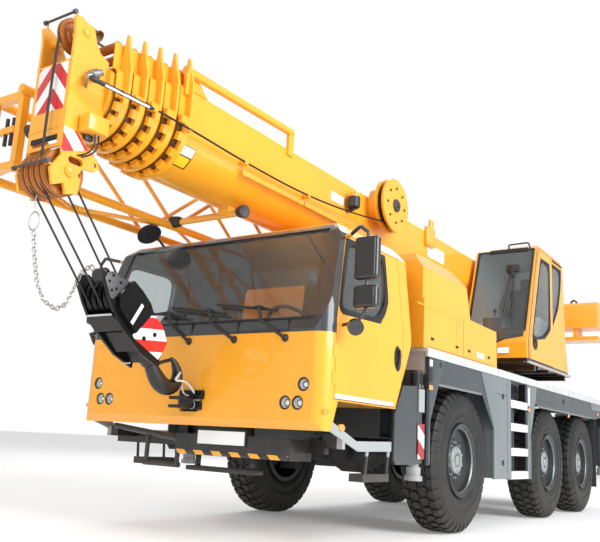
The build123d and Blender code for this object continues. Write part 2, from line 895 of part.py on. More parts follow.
def boom_head():
    """Last section with the head box that carries the top and lower sheaves."""
    index = SECTIONS
    made = section_tube(index, BOOM_REAR + REAR_STEP * index, 5066)
    made += Location((5062, 0, 0)) * extrude(section_face(index, 0), 16, dir=(1, 0, 0))
    outline = (
        (5070, 2880),
        (5070, 3316),
        (5152, 3353),
        (5196, 3419),
        (5227, 3515),
        (5278, 3513),
        (5338, 3540),
        (5390, 3522),
        (5376, 3416),
        (5376, 2712),
        (5364, 2538),
        (5440, 2420),
        (5407, 2311),
        (5324, 2348),
        (5296, 2279),
        (5203, 2308),
        (5194, 2410),
        (5221, 2430),
        (5183, 2492),
        (5086, 2499),
        (5049, 2538),
        (5089, 2596),
        (5153, 2614),
        (5245, 2740),
    )
    plate = side_plate(outline, HEAD_Y, HEAD_Y + HEAD_T)
    plate -= y_disc(25, 5215, 2520, 100, 200) + y_disc(25, 5285, 2520, 100, 200)
    plate -= box(5215, 5285, 100, 200, 2495, 2545) + y_disc(16, 5092, 2545, 100, 200)
    half = HEAD_Y + HEAD_T
    front = box(5362, 5376, -half, half, 2592, 3215) - box(5350, 5400, -128, 128, 2618, 2660)
    made += both_sides(plate) + front
    for z in (2736, 3209):
        made += box(5376, 5380, -half, half, z - 6, z + 6)
    made += box(5070, 5364, -HEAD_Y, HEAD_Y, 2880, 2892)
    made += y_disc(40, SHEAVE_X, SHEAVE_Z, -half - 16, half + 16)
    made += y_disc(34, TOP_SHEAVE_X, TOP_SHEAVE_Z, -half - 10, half + 10)
    for x, z, reach in ((5466, 2460, 168), (5380, 3566, 152)):
        made += rod(9, (x, -reach, z), (x, reach, z))
    for y in (-164, 164):
        made += rod(9, (5410, y * 1.03, 2440), (5466, y, 2460))
        made += rod(9, (5340, y * 1.03, 3520), (5380, y * 0.9, 3566))
    return made


def sheave(radius, x, z, y, bore):
    hub = 0.45 * radius
    profile = (
        (y - 18, bore),
        (y - 18, hub),
        (y - 6, hub + 8),
        (y - 6, radius - 36),
        (y - 18, radius - 28),
        (y - 18, radius),
        (y - 12, radius),
        (y, radius - 18),
        (y + 12, radius),
        (y + 18, radius),
        (y + 18, radius - 28),
        (y + 6, radius - 36),
        (y + 6, hub + 8),
        (y + 18, hub),
        (y + 18, bore),
    )
    face = make_face(Plane.YZ * Polyline(*profile, close=True))
    return Location((x, 0, z)) * revolve(face, Axis.Y, 360)


def head_sheaves():
    made = [sheave(TOP_SHEAVE_R, TOP_SHEAVE_X, TOP_SHEAVE_Z, 50, 35)]
    for y in (-112, -56, 0, 56, 112):
        made.append(sheave(SHEAVE_R, SHEAVE_X, SHEAVE_Z, y, 41))
    return Compound(made)


# ---- hook block and jib -------------------------------------------------------------
def hung(shape):
    """Move a piece drawn about the block's sheave pin to its lashed place under the head."""
    falls = Location((SHEAVE_X, 0, SHEAVE_Z), (0, FALL_TILT, 0))
    return falls * Location((20, 0, -FALL), (0, BLOCK_TILT - FALL_TILT, 0)) * shape


def hook_block():
    """Lower block: two cheeks over four sheaves, side ballast, guard and crosshead."""
    cheek = side_plate(
        (
            (-45, 181),
            (19, 228),
            (68, 213),
            (124, 63),
            (162, -84),
            (161, -184),
            (142, -417),
            (77, -605),
            (28, -566),
            (-118, -523),
            (-160, -390),
            (-144, -305),
            (-153, -200),
            (-146, -76),
            (-128, 11),
            (-54, 123),
        ),
        126,
        150,
    )
    ballast = side_plate(
        ((-120, 40), (60, 40), (112, -20), (112, -250), (-120, -250), (-142, -180), (-138, -60)), 148, 185
    )
    made = both_sides(cheek + ballast)
    made += box(150, 162, -130, 130, -184, -30)
    made += box(-140, 130, -128, 128, -400, -220)
    made += box(-70, 70, -128, 128, -560, -420)
    made -= rod(46, (0, 0, -600), (0, 0, -380))
    made += y_disc(35, 0, 0, -164, 164)
    for y in (-90, -30, 30, 90):
        made += sheave(BLOCK_SHEAVE_R, 0, 0, y, 30)
    return hung(made)


def hook():
    """Single forged hook: bevelled bowl, shank, raised point and the swivel stem."""
    r0, r1, half, bevel = 58, 153, HOOK_HALF, HOOK_BEVEL
    section = (
        (r0, bevel - half),
        (r0 + bevel, -half),
        (r1 - bevel, -half),
        (r1, bevel - half),
        (r1, half - bevel),
        (r1 - bevel, half),
        (r0 + bevel, half),
        (r0, half - bevel),
    )
    bowl = revolve(make_face(Polyline(*section, close=True)), Axis.Y, 360)
    made = Location((-66, 0, -828)) * bowl
    throat = ((-130, -812), (-158, -690), (-260, -540), (-110, -540), (-84, -600), (-84, -690), (-34, -800))
    made -= side_plate(throat, -60, 60)
    outline = ((-75, -585), (60, -585), (74, -700), (84, -800), (-14, -766), (-82, -700))
    shank = side_plate(outline, -half, half)
    faces = shank.faces().filter_by(Axis.Y)
    made += chamfer(faces[0].edges() + faces[1].edges(), bevel * 0.8)
    point = side_plate(((-212, -830), (-222, -762), (-205, -736), (-180, -742), (-132, -812)), -34, 34)
    return hung(made + point + rod(42, (0, 0, -600), (0, 0, -400)))


def jib():
    """Folded lattice jib along the right side, on two brackets off the boom base."""
    y0, y1, z0, z1 = -620, -1040, 2640, 3260
    x0, x1 = -3200, 5200
    chords = ((y0, z0), (y1, z0), (y0, z1), (y1, z1))
    made = None
    for y, z in chords:
        bar = rod(36, (x0, y, z), (x1, y, z))
        made = bar if made is None else made + bar
    bays = 10
    pitch = (x1 - x0 - 200) / bays
    for n in range(bays):
        a, b = x0 + 100 + n * pitch, x0 + 100 + (n + 1) * pitch
        if n % 2:
            a, b = b, a
        for y in (y0, y1):
            made += rod(18, (a, y, z0), (b, y, z1))
        for z in (z0, z1):
            made += rod(18, (a, y0, z), (b, y1, z))
    for x in (x0 + 60, x1 - 60):
        made += box(x - 30, x + 30, y1, y0, z0, z1) - box(x - 40, x + 40, y1 + 60, y0 - 60, z0 + 60, z1 - 60)
    for x in (-2200, 2600):
        made += box(x - 60, x + 60, y0, -350, 3120, 3200)
    return made


# ---- assembly -----------------------------------------------------------------------
def main():
    os.makedirs("parts", exist_ok=True)
    save(chassis_frame() + rear_bumper(), "chassis_frame")
    save(deck(), "deck")
    save(side_lockers(1) + side_lockers(-1), "side_panels")
    save(front_bumper() + coupling(), "front_bumper")
    save(engine_block(), "engine_block")
    save(engine_hood(), "engine_hood")
    save(axle_beam(AXLES[0]) + axle_beam(AXLES[1]) + axle_beam(AXLES[2]), "axle_beams")

    shell = cab_body(0) - cab_body(45)
    pane = cab_body(14) - cab_body(22)
    save(driver_cab(shell), "driver_cab")
    save((pane & windscreen_prism(-3)) + (pane & rear_window_prism(-3)), "driver_cab_glass")
    save(cab_interior() + steering_wheel(), "driver_cab_interior")
    for name, side in SIDES:
        save(driver_door(shell, side), f"driver_door_{name}")
        save(pane & door_window(-3, side), f"driver_door_glass_{name}")

    for number, x in enumerate(AXLES, start=1):
        for name, side in SIDES:
            save(knuckle(x, side), f"knuckle_{number}_{name}")
            save(rim(x, side), f"rim_{number}_{name}")
            save(tyre(x, side), f"tyre_{number}_{name}")
    for station, left_x, right_x in STATIONS:
        for name, side, x in (("left", 1, left_x), ("right", -1, right_x)):
            save(beam(x, side), f"outrigger_beam_{station}_{name}")
            save(jack(x, side), f"jack_leg_{station}_{name}")

    save(turntable(), "turntable")
    save(winch_drum(), "winch_drum")
    save(counterweight(), "counterweight")
    cab_shell = crane_cab_body(0) - crane_cab_body(40)
    cab_pane = crane_cab_body(10) - crane_cab_body(16)
    save(crane_cab(cab_shell) + crane_seat(), "crane_cab")
    glass = (cab_pane & crane_front_window(-5)) + (cab_pane & crane_rear_side_window(-5))
    save(glass, "crane_cab_glass")
    save(crane_door(), "crane_cab_door")
    pane_box = box(-3000, -800, 1250, 1258, 1800, 3500)
    save(crane_side_window(-3) & pane_box, "crane_cab_door_glass")
    save(cylinder_barrel(), "luffing_barrel")
    save(cylinder_rod(), "luffing_rod")

    save(boom_base(), "boom_base")
    save(luffing_lugs(), "luffing_lugs")
    for index in range(1, SECTIONS):
        save(boom_section(index), f"boom_section_{index}")
    save(boom_head(), "boom_head_section")
    save(head_sheaves(), "head_sheaves")
    save(hook_block(), "hook_block")
    save(hook(), "hook")
    save(jib(), "lattice_jib")


main()
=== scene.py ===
"""Looks of a three-axle mobile crane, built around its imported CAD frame."""

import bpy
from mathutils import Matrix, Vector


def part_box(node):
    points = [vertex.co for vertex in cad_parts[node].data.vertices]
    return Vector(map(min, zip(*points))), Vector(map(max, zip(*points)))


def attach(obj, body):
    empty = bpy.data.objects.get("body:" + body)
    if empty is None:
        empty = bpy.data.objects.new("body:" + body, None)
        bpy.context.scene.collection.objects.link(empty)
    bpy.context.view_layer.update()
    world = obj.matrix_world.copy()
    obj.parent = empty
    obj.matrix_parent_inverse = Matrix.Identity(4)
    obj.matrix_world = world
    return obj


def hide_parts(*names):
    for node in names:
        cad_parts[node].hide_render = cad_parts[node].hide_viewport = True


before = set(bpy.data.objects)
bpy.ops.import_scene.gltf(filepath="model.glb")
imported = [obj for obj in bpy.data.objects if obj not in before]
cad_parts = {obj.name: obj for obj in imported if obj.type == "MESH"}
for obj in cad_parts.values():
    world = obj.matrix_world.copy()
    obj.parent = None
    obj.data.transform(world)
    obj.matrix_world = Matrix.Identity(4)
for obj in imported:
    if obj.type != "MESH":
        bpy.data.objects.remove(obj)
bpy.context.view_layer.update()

from fnmatch import fnmatch
from math import atan2, cos, pi, radians, sin

import bpy
from bpy.props import FloatProperty, FloatVectorProperty, PointerProperty
from mathutils import Matrix, Vector

bl_info = {
    "name": "Mobile crane looks", "version": (1, 0, 0), "blender": (4, 5, 0), "location": "3D View > Sidebar > Crane",
    "description": "Adds the finishes and fittings of a mobile crane to its CAD frame", "category": "Object",
}

SIDES = (("left", 1), ("right", -1))
AXLES = tuple((index, sum(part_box(f"rim_{index}_left"), Vector()).x / 2) for index in (1, 2, 3))
WHEEL_Z = sum(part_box("rim_1_left"), Vector()).z / 2
# front of the base collar and the step from each collar to the next
BOOM_FRONT, COLLAR_STEP = 4.51, 0.134
# belly of the base section, how much narrower each next one is, and its axis
BELLY_RADIUS, BELLY_STEP, BELLY_Z = 0.35, 0.024, 3.085
ROPE_Z, ROPE_RADIUS = 3.514, 0.0095
HEAD_SHEAVE, LOW_SHEAVE = Vector((5.287, 0, 3.445)), Vector((5.29, 0, 2.44))
MIRROR = Matrix.Diagonal((1, -1, 1, 1))


# ---- settings -----------------------------------------------------------------------
def colour(name, description, default):
    """Setting for the colour of one finish."""
    return FloatVectorProperty(
        name=name, description=description, subtype="COLOR", size=3, min=0, max=1, default=default
    )


class PaintSettings(bpy.types.PropertyGroup):
    """Colours of the crane's finishes."""

    yellow: colour("Yellow", "Paint of cab, boom and upper part", (0.9, 0.385, 0.02))
    grey: colour("Chassis grey", "Paint of frame and side panels", (0.036, 0.048, 0.054))
    slate: colour("Light slate", "Posts, lockers and pillars", (0.15, 0.178, 0.19))
    rubber: colour("Rubber", "Tyres and seals", (0.007, 0.0075, 0.008))
    signal_red: colour("Signal red", "Red of the warning stripes", (0.62, 0.02, 0.02))


class StageSettings(bpy.types.PropertyGroup):
    """Camera and light."""

    lens: FloatProperty(
        name="Lens", description="Focal length over a 36 mm sensor", unit="CAMERA", default=45.3, min=10, max=200
    )
    key_power: FloatProperty(
        name="Key light", description="Power of the large soft light", unit="POWER", default=3000.0, min=0
    )


# ---- modelling helpers --------------------------------------------------------------
def fresh():
    """Object mode with nothing selected."""
    if bpy.context.object and bpy.context.object.mode != "OBJECT":
        bpy.ops.object.mode_set(mode="OBJECT")
    bpy.ops.object.select_all(action="DESELECT")


def alone(piece):
    """Makes one piece the only selected and the active one."""
    fresh()
    piece.select_set(True)
    bpy.context.view_layer.objects.active = piece


def applied(name):
    """Names the active piece and moves its place, turn and scale into its mesh."""
    piece = bpy.context.object
    piece.name = piece.data.name = name
    bpy.ops.object.transform_apply(location=True, rotation=True, scale=True)
    return piece


def edit(piece, *steps):
    """Runs edit-mode steps on the whole of one piece."""
    alone(piece)
    bpy.ops.object.mode_set(mode="EDIT")
    bpy.ops.mesh.select_all(action="SELECT")
    for step in steps:
        step()
    bpy.ops.object.mode_set(mode="OBJECT")
    return piece


def outward():
    bpy.ops.mesh.remove_doubles(threshold=0.00002)
    bpy.ops.mesh.normals_make_consistent(inside=False)


def block(name, low, high):
    """Box between two corners."""
    fresh()
    low, high = Vector(low), Vector(high)
    bpy.ops.mesh.primitive_cube_add(size=1, location=(low + high) / 2)
    bpy.context.object.scale = high - low
    return applied(name)


def bar(name, radius, start, end, sides=20):
    """Round bar between two points."""
    fresh()
    start, end = Vector(start), Vector(end)
    axis = end - start
    bpy.ops.mesh.primitive_cylinder_add(
        vertices=sides, radius=radius, depth=axis.length, location=(start + end) / 2,
        rotation=axis.to_track_quat("Z", "Y").to_euler(),
    )
    return applied(name)


def chain(name, points):
    """Row of edges drawn point by point, left open in edit mode with all selected."""
    fresh()
    points = [Vector(point) for point in points]
    bpy.ops.mesh.primitive_plane_add(size=0.01, location=points[0])
    applied(name)
    bpy.ops.object.mode_set(mode="EDIT")
    bpy.ops.mesh.select_all(action="SELECT")
    bpy.ops.mesh.merge(type="CENTER")
    for start, end in zip(points, points[1:]):
        bpy.ops.mesh.extrude_region_move(TRANSFORM_OT_translate={"value": end - start})
    bpy.ops.mesh.select_all(action="SELECT")


def plate(name, points, depth):
    """Flat outline, filled and given its thickness along depth."""
    chain(name, points)
    bpy.ops.mesh.edge_face_add()
    bpy.ops.mesh.extrude_region_move(TRANSFORM_OT_translate={"value": Vector(depth)})
    bpy.ops.mesh.select_all(action="SELECT")
    outward()
    bpy.ops.object.mode_set(mode="OBJECT")
    return bpy.context.object


def side_plate(name, points, y, thickness):
    """Plate from an (x, z) outline, between y and y + thickness."""
    return plate(name, [(x, y, z) for x, z in points], (0, thickness, 0))


def cross_plate(name, points, x, thickness):
    """Plate from a (y, z) outline, between x and x + thickness."""
    return plate(name, [(x, y, z) for y, z in points], (thickness, 0, 0))


def lathe(name, profile, centre, sides=40, axis=(0, 1, 0)):
    """Turned piece from (along, radius) pairs, about an axis through centre."""
    axis, centre = Vector(axis).normalized(), Vector(centre)
    across = axis.orthogonal().normalized()
    chain(name, [centre + axis * a + across * max(r, 0.0) for a, r in profile])
    bpy.ops.mesh.spin(steps=sides, angle=2 * pi, center=centre, axis=axis)
    bpy.ops.mesh.select_all(action="SELECT")
    outward()
    bpy.ops.object.mode_set(mode="OBJECT")
    return bpy.context.object


def tube(name, points, radius, bend=0, sides=3, radii=()):
    """Bar along points: straight runs, or with bend=1 one smooth line."""
    fresh()
    bpy.ops.curve.primitive_nurbs_path_add()
    piece = bpy.context.object
    line = piece.data
    line.splines.clear()
    spline = line.splines.new("NURBS" if bend else "POLY")
    spline.points.add(len(points) - 1)
    for knot, place in zip(spline.points, points):
        knot.co = (*place, 1)
    for knot, share in zip(spline.points, radii):
        knot.radius = share
    if bend:
        spline.order_u = 3
        spline.use_endpoint_u = True
    line.dimensions = "3D"
    line.resolution_u = 8
    line.bevel_depth, line.bevel_resolution = radius, sides
    line.use_fill_caps = True
    bpy.ops.object.convert(target="MESH")
    return applied(name)


def joined(name, pieces):
    fresh()
    for piece in pieces:
        piece.select_set(True)
    bpy.context.view_layer.objects.active = pieces[0]
    bpy.ops.object.join()
    return applied(name)


def copied(piece, name, matrix):
    """Copy with its own mesh, moved by a matrix."""
    alone(piece)
    bpy.ops.object.duplicate()
    made = bpy.context.object
    made.matrix_world = matrix
    applied(name)
    if matrix.determinant() < 0:
        edit(made, outward)
    return made


def moved(piece, name, matrix):
    """Copy moved by a matrix, which takes the piece's place."""
    made = copied(piece, name, matrix)
    bpy.data.objects.remove(piece)
    return made


def mirrored(piece, name):
    return copied(piece, name, MIRROR)


def on_side(piece, side, name):
    """Names a piece made for the left; on the right its mirror image takes its place."""
    if side < 0:
        piece = moved(piece, name, MIRROR)
    piece.name = piece.data.name = name
    return piece


def disc(low, high, radius):
    """Profile of a solid round from low to high along its axis."""
    return [(low, 0), (low, radius), (high, radius), (high, 0)]


def hoop(low, high, inner, outer):
    """Profile of a ring from low to high along its axis."""
    return [(low, inner), (low, outer), (high, outer), (high, inner)]


def blocks(name, *corners):
    """One piece made of boxes between pairs of corners."""
    return joined(name, [block(name, low, high) for low, high in corners])


def fit_lathe(body, finish, *shape, angle=40, **turn):
    """Turns a piece and fits it."""
    fitted(lathe(*shape, **turn), body, finish, angle=angle)


def fit_tube(body, finish, *shape, angle=35, **line):
    """Draws a tube and fits it."""
    fitted(tube(*shape, **line), body, finish, angle=angle)


def fit_blocks(body, rows):
    """Fits a box for each row: name, low corner, high corner, finish, width of its eased edges."""
    for name, low, high, finish, ease in rows:
        fitted(block(name, low, high), body, finish, ease)


def turned_copies(piece, count, centre, axis):
    """Repeats the piece round an axis, in its own mesh."""

    def spin():
        bpy.ops.mesh.spin(steps=count - 1, dupli=True, angle=2 * pi * (count - 1) / count, center=centre, axis=axis)

    return edit(piece, spin)


def shift_copies(piece, count, step):
    """Repeats the piece along a step, in its own mesh."""
    row = piece.modifiers.new("row", "ARRAY")
    row.count = count
    row.use_relative_offset, row.use_constant_offset = False, True
    row.constant_offset_displace = step
    return with_modifiers(piece)


def with_modifiers(piece):
    alone(piece)
    for modifier in list(piece.modifiers):
        bpy.ops.object.modifier_apply(modifier=modifier.name)
    return piece


def eased(piece, width, segments=2):
    """Rounds the piece's sharp edges."""
    ease = piece.modifiers.new("ease", "BEVEL")
    ease.width, ease.segments, ease.limit_method = width, segments, "ANGLE"
    ease.angle_limit = radians(32)
    return with_modifiers(piece)


def cut(piece, *cutters):
    """Takes the cutters out of the piece."""
    for cutter in cutters:
        take = piece.modifiers.new("take", "BOOLEAN")
        take.operation, take.solver, take.object = "DIFFERENCE", "EXACT", cutter
        with_modifiers(piece)
        bpy.data.objects.remove(cutter)
    return piece


def fitted(piece, body, finish, ease=0.0, segments=2, angle=35):
    """Finished piece: eased edges, smooth shading, its finish and its body."""
    if ease:
        eased(piece, ease, segments)
    alone(piece)
    bpy.ops.object.shade_smooth_by_angle(angle=radians(angle))
    piece.data.materials.clear()
    piece.data.materials.append(FINISHES[finish])
    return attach(piece, body)


# ---- shared material effects --------------------------------------------------------
def place(tree, kind, inputs=None, **attributes):
    """Adds one node: attributes first, then each input's value or link."""
    node = tree.nodes.new(kind)
    for name, value in attributes.items():
        setattr(node, name, value)
    for key, value in (inputs or {}).items():
        if isinstance(value, bpy.types.NodeSocket):
            tree.links.new(value, node.inputs[key])
        else:
            node.inputs[key].default_value = value
    return node


def effect(name, inputs, output, build):
    """Node group with float or vector inputs and one output, built once."""
    tree = bpy.data.node_groups.get(name)
    if tree:
        return tree
    tree = bpy.data.node_groups.new(name, "ShaderNodeTree")
    for label, kind in inputs:
        tree.interface.new_socket(label, in_out="INPUT", socket_type=f"NodeSocket{kind}")
    tree.interface.new_socket(output, in_out="OUTPUT", socket_type="NodeSocketFloat")
    source = tree.nodes.new("NodeGroupInput")
    sink = tree.nodes.new("NodeGroupOutput")
    tree.links.new(build(tree, source.outputs), sink.inputs[0])
    return tree


def use(tree, group, **values):
    """Places a group with its own values and gives its output."""
    inputs = {name.replace("_", " "): value for name, value in values.items()}
    return place(tree, "ShaderNodeGroup", inputs, node_tree=group).outputs[0]


def position(tree):
    return place(tree, "ShaderNodeTexCoord").outputs["Object"]


def axes(tree):
    """X, Y and Z of the shaded point."""
    return place(tree, "ShaderNodeSeparateXYZ", {0: position(tree)}).outputs


def noise(tree, scale, detail):
    inputs = {"Vector": position(tree), "Scale": scale, "Detail": detail}
    return place(tree, "ShaderNodeTexNoise", inputs).outputs["Fac"]


def maths(tree, operation, a, b=0.0):
    return place(tree, "ShaderNodeMath", {0: a, 1: b}, operation=operation).outputs[0]


def vectors(tree, operation, a, b, output="Vector"):
    return place(tree, "ShaderNodeVectorMath", {0: a, 1: b}, operation=operation).outputs[output]


def ranged(tree, value, low, high):
    """0 below low and 1 above high, smoothly."""
    node = place(
        tree, "ShaderNodeMapRange", {"Value": value, "From Min": low, "From Max": high},
        interpolation_type="SMOOTHSTEP",
    )
    return node.outputs[0]


def mixed(tree, factor, a, b):
    """Colour a where the factor is 0, and b where it is 1."""
    node = place(tree, "ShaderNodeMix", {0: factor, 6: a, 7: b}, data_type="RGBA")
    return node.outputs[2]


def mottle():
    """Soft cloudy variation from 0 to 1."""
    return effect(
        "mottle", (("Scale", "Float"),), "Mask",
        lambda tree, source: ranged(tree, noise(tree, source["Scale"], 4.0), 0.35, 0.68),
    )


def speckle():
    """Fine relief for moulded, cast or sprayed surfaces."""
    return effect("speckle", (("Scale", "Float"),), "Height", lambda tree, source: noise(tree, source["Scale"], 3.0))


def road_dirt():
    """Dust that thickens from Top down to the ground, broken by noise."""

    def build(tree, source):
        depth = maths(tree, "DIVIDE", axes(tree)["Z"], source["Top"])
        height = maths(tree, "SUBTRACT", 1.0, depth)
        return ranged(tree, maths(tree, "MULTIPLY", height, noise(tree, 7.0, 6.0)), 0.05, 0.55)

    return effect("road_dirt", (("Top", "Float"),), "Mask", build)


def slanted_stripes():
    """Equal stripes along Across, which is one over the pair's width."""

    def build(tree, source):
        along = vectors(tree, "DOT_PRODUCT", position(tree), source["Across"], "Value")
        along = maths(tree, "ADD", along, source["Shift"])
        return maths(tree, "GREATER_THAN", maths(tree, "FRACT", along), 0.5)

    return effect("slanted_stripes", (("Across", "Vector"), ("Shift", "Float")), "Mask", build)


def inside_box():
    """1 between the corners Low and High, 0 elsewhere."""

    def build(tree, source):
        where = position(tree)
        below = vectors(tree, "SUBTRACT", where, source["Low"])
        above = vectors(tree, "SUBTRACT", source["High"], where)
        least = vectors(tree, "MINIMUM", below, above)
        parts = place(tree, "ShaderNodeSeparateXYZ", {0: least}).outputs
        smallest = maths(tree, "MINIMUM", maths(tree, "MINIMUM", parts[0], parts[1]), parts[2])
        return maths(tree, "GREATER_THAN", smallest, 0.0)

    return effect("inside_box", (("Low", "Vector"), ("High", "Vector")), "Mask", build)


def behind_plane():
    """1 on the side of a plane that its Normal points away from."""

    def build(tree, source):
        along = vectors(tree, "DOT_PRODUCT", position(tree), source["Normal"], "Value")
        return maths(tree, "LESS_THAN", along, source["Offset"])

    return effect("behind_plane", (("Normal", "Vector"), ("Offset", "Float")), "Mask", build)


def surface(name):
    """New material with its Principled shader: (material, tree, shader)."""
    material = bpy.data.materials.new(name)
    material.use_nodes = True
    tree = material.node_tree
    return material, tree, tree.nodes["Principled BSDF"]


def wire(tree, shader, **links):
    for name, value in links.items():
        socket = shader.inputs[name.replace("_", " ")]
        if isinstance(value, bpy.types.NodeSocket):
            tree.links.new(value, socket)
        else:
            socket.default_value = value


def relief(tree, height, strength, distance=0.001):
    node = place(tree, "ShaderNodeBump", {"Height": height, "Strength": strength, "Distance": distance})
    return node.outputs[0]


def rgba(colour, share=1.0):
    return (colour[0] * share, colour[1] * share, colour[2] * share, 1.0)


# ---- materials ----------------------------------------------------------------------
def paint(name, colour, dirt_top=1.2, coat=0.7, parts=(), shine=0.5):
    """Sprayed and lacquered paint. parts are (mask builder, colour) laid over it."""
    material, tree, shader = surface(name)
    cloud = use(tree, mottle(), Scale=1.7)
    shade = mixed(tree, maths(tree, "MULTIPLY", cloud, 0.35), rgba(colour), rgba(colour, 0.82))
    for mask, over in parts:
        shade = mixed(tree, mask(tree), shade, rgba(over))
    dirt = maths(tree, "MULTIPLY", use(tree, road_dirt(), Top=dirt_top), 0.18)
    shade = mixed(tree, dirt, shade, (0.2, 0.17, 0.13, 1.0))
    rough = maths(tree, "ADD", maths(tree, "MULTIPLY", cloud, 0.06), 0.3)
    rough = maths(tree, "ADD", rough, maths(tree, "MULTIPLY", dirt, 0.9))
    wire(
        tree, shader, Base_Color=shade, Roughness=rough, Coat_Weight=coat, Coat_Roughness=0.06,
        Specular_IOR_Level=shine, Normal=relief(tree, use(tree, speckle(), Scale=260.0), 0.06),
    )
    return material


def plain(name, colour, rough, metallic=0.0, grain=300.0, depth=0.15, dirt=0.12, shine=0.5):
    """Moulded, cast or bare surface with fine grain and some dust."""
    material, tree, shader = surface(name)
    cloud = use(tree, mottle(), Scale=5.0)
    shade = mixed(tree, maths(tree, "MULTIPLY", cloud, 0.4), rgba(colour), rgba(colour, 0.7))
    dust = maths(tree, "MULTIPLY", use(tree, road_dirt(), Top=1.3), dirt)
    shade = mixed(tree, dust, shade, (0.17, 0.15, 0.12, 1.0))
    roughness = maths(tree, "ADD", maths(tree, "MULTIPLY", cloud, 0.12), rough)
    wire(
        tree, shader, Base_Color=shade, Metallic=metallic, Roughness=roughness, Specular_IOR_Level=shine,
        Normal=relief(tree, use(tree, speckle(), Scale=grain), depth),
    )
    return material


def glazing(name, tint, clear=0.92):
    material, tree, shader = surface(name)
    haze = maths(tree, "MULTIPLY", use(tree, mottle(), Scale=3.0), 0.02)
    wire(
        tree, shader, Base_Color=rgba(tint), Roughness=maths(tree, "ADD", haze, 0.01),
        Transmission_Weight=clear, IOR=1.45,
    )
    return material


def lit_lens(name, colour, glow):
    material, tree, shader = surface(name)
    ribs = place(
        tree, "ShaderNodeTexWave", {"Vector": position(tree), "Scale": 60.0}, bands_direction="Z"
    ).outputs["Fac"]
    shade = mixed(tree, maths(tree, "MULTIPLY", ribs, 0.25), rgba(colour), rgba(colour, 0.6))
    wire(
        tree, shader, Base_Color=shade, Roughness=0.12, Coat_Weight=1.0,
        Normal=relief(tree, ribs, 0.3), Emission_Color=rgba(colour), Emission_Strength=glow,
    )
    return material


FINISHES = {}


def side_plane(normal, point):
    """Mask builder: 1 behind a plane through point."""
    normal, point = Vector(normal).normalized(), Vector(point)
    return lambda tree: use(tree, behind_plane(), Normal=normal, Offset=normal.dot(point))


def in_box(low, high):
    return lambda tree: use(tree, inside_box(), Low=Vector(low), High=Vector(high))


def all_of(*masks):
    """Mask builder: 1 where every mask is 1."""

    def build(tree):
        total = masks[0](tree)
        for mask in masks[1:]:
            total = maths(tree, "MULTIPLY", total, mask(tree))
        return total

    return build


def striped(mask, across, shift=0.0):
    """Mask builder: stripes kept inside another mask."""

    def build(tree):
        stripes = use(tree, slanted_stripes(), Across=Vector(across), Shift=shift)
        return maths(tree, "MULTIPLY", mask(tree), stripes)

    return build


def everywhere(tree):
    return maths(tree, "ADD", 1.0)


def outlined(points, grow, across="x"):
    """Mask builder: 1 inside a convex outline in (x, z) or (y, z), drawn grown."""
    middle = sum((Vector((a, b)) for a, b in points), Vector((0, 0))) / len(points)
    planes = []
    for (a0, b0), (a1, b1) in zip(points, points[1:] + points[:1]):
        normal = Vector((b1 - b0, a0 - a1)).normalized()
        if normal.dot(Vector((a0, b0)) - middle) < 0:
            normal.negate()
        edge = Vector((a0, b0)) + normal * grow
        if across == "x":
            planes.append(side_plane((normal.x, 0, normal.y), (edge.x, 0, edge.y)))
        else:
            planes.append(side_plane((0, normal.x, normal.y), (0, edge.x, edge.y)))
    return all_of(*planes)


def chevrons(middle, slope, repeat, shift):
    """Mask builder: V-shaped bands on a face across the vehicle, about y = middle."""

    def build(tree):
        parts = axes(tree)
        off = maths(tree, "ABSOLUTE", maths(tree, "SUBTRACT", parts["Y"], middle))
        along = maths(tree, "ADD", parts["Z"], maths(tree, "MULTIPLY", off, slope))
        along = maths(tree, "ADD", maths(tree, "DIVIDE", along, repeat), shift)
        return maths(tree, "GREATER_THAN", maths(tree, "FRACT", along), 0.5)

    return build


# outlines in (x, z), in metres
DOOR_WINDOW = ((2.8, 1.96), (2.95, 1.775), (3.53, 1.755), (3.56, 1.79), (3.4, 2.33), (2.8, 2.33))
CRANE_DOOR_WINDOW = ((-1.045, 2.215), (-1.12, 2.2), (-1.56, 2.27), (-1.81, 2.42), (-1.81, 3.29), (-1.43, 3.29))
CRANE_REAR_WINDOW = ((-1.95, 2.48), (-2.05, 2.52), (-2.32, 2.8), (-2.44, 3.1), (-2.48, 3.35), (-1.95, 3.35))


def driver_cab_lining(depth):
    """Mask builder: 1 inside the driver's cab, from a depth under its skin."""
    return all_of(
        in_box((2.385 + depth, -1.27 + depth, 1.1), (3.744 - depth, 1.27 - depth, 2.5 - depth)),
        side_plane((1, 0, 0.3296), (3.724 - depth, 0, 1.7)), side_plane((0, 1, 0.112), (0, 1.27 - depth, 1.72)),
        side_plane((0, -1, 0.112), (0, -1.27 + depth, 1.72)),
        side_plane((-0.555, 0, -0.265), (2.385 + depth, 0, 1.64)),
        side_plane((0, 1, 1.0), (0, 1.195 - depth, 2.39 - depth * 0.5)),
        side_plane((0, -1, 1.0), (0, -1.195 + depth, 2.39 - depth * 0.5)),
        side_plane((1, 1, 0), (3.707 - depth, 1.233 - depth * 0.5, 0)),
        side_plane((1, -1, 0), (3.707 - depth, -1.233 + depth * 0.5, 0)),
    )


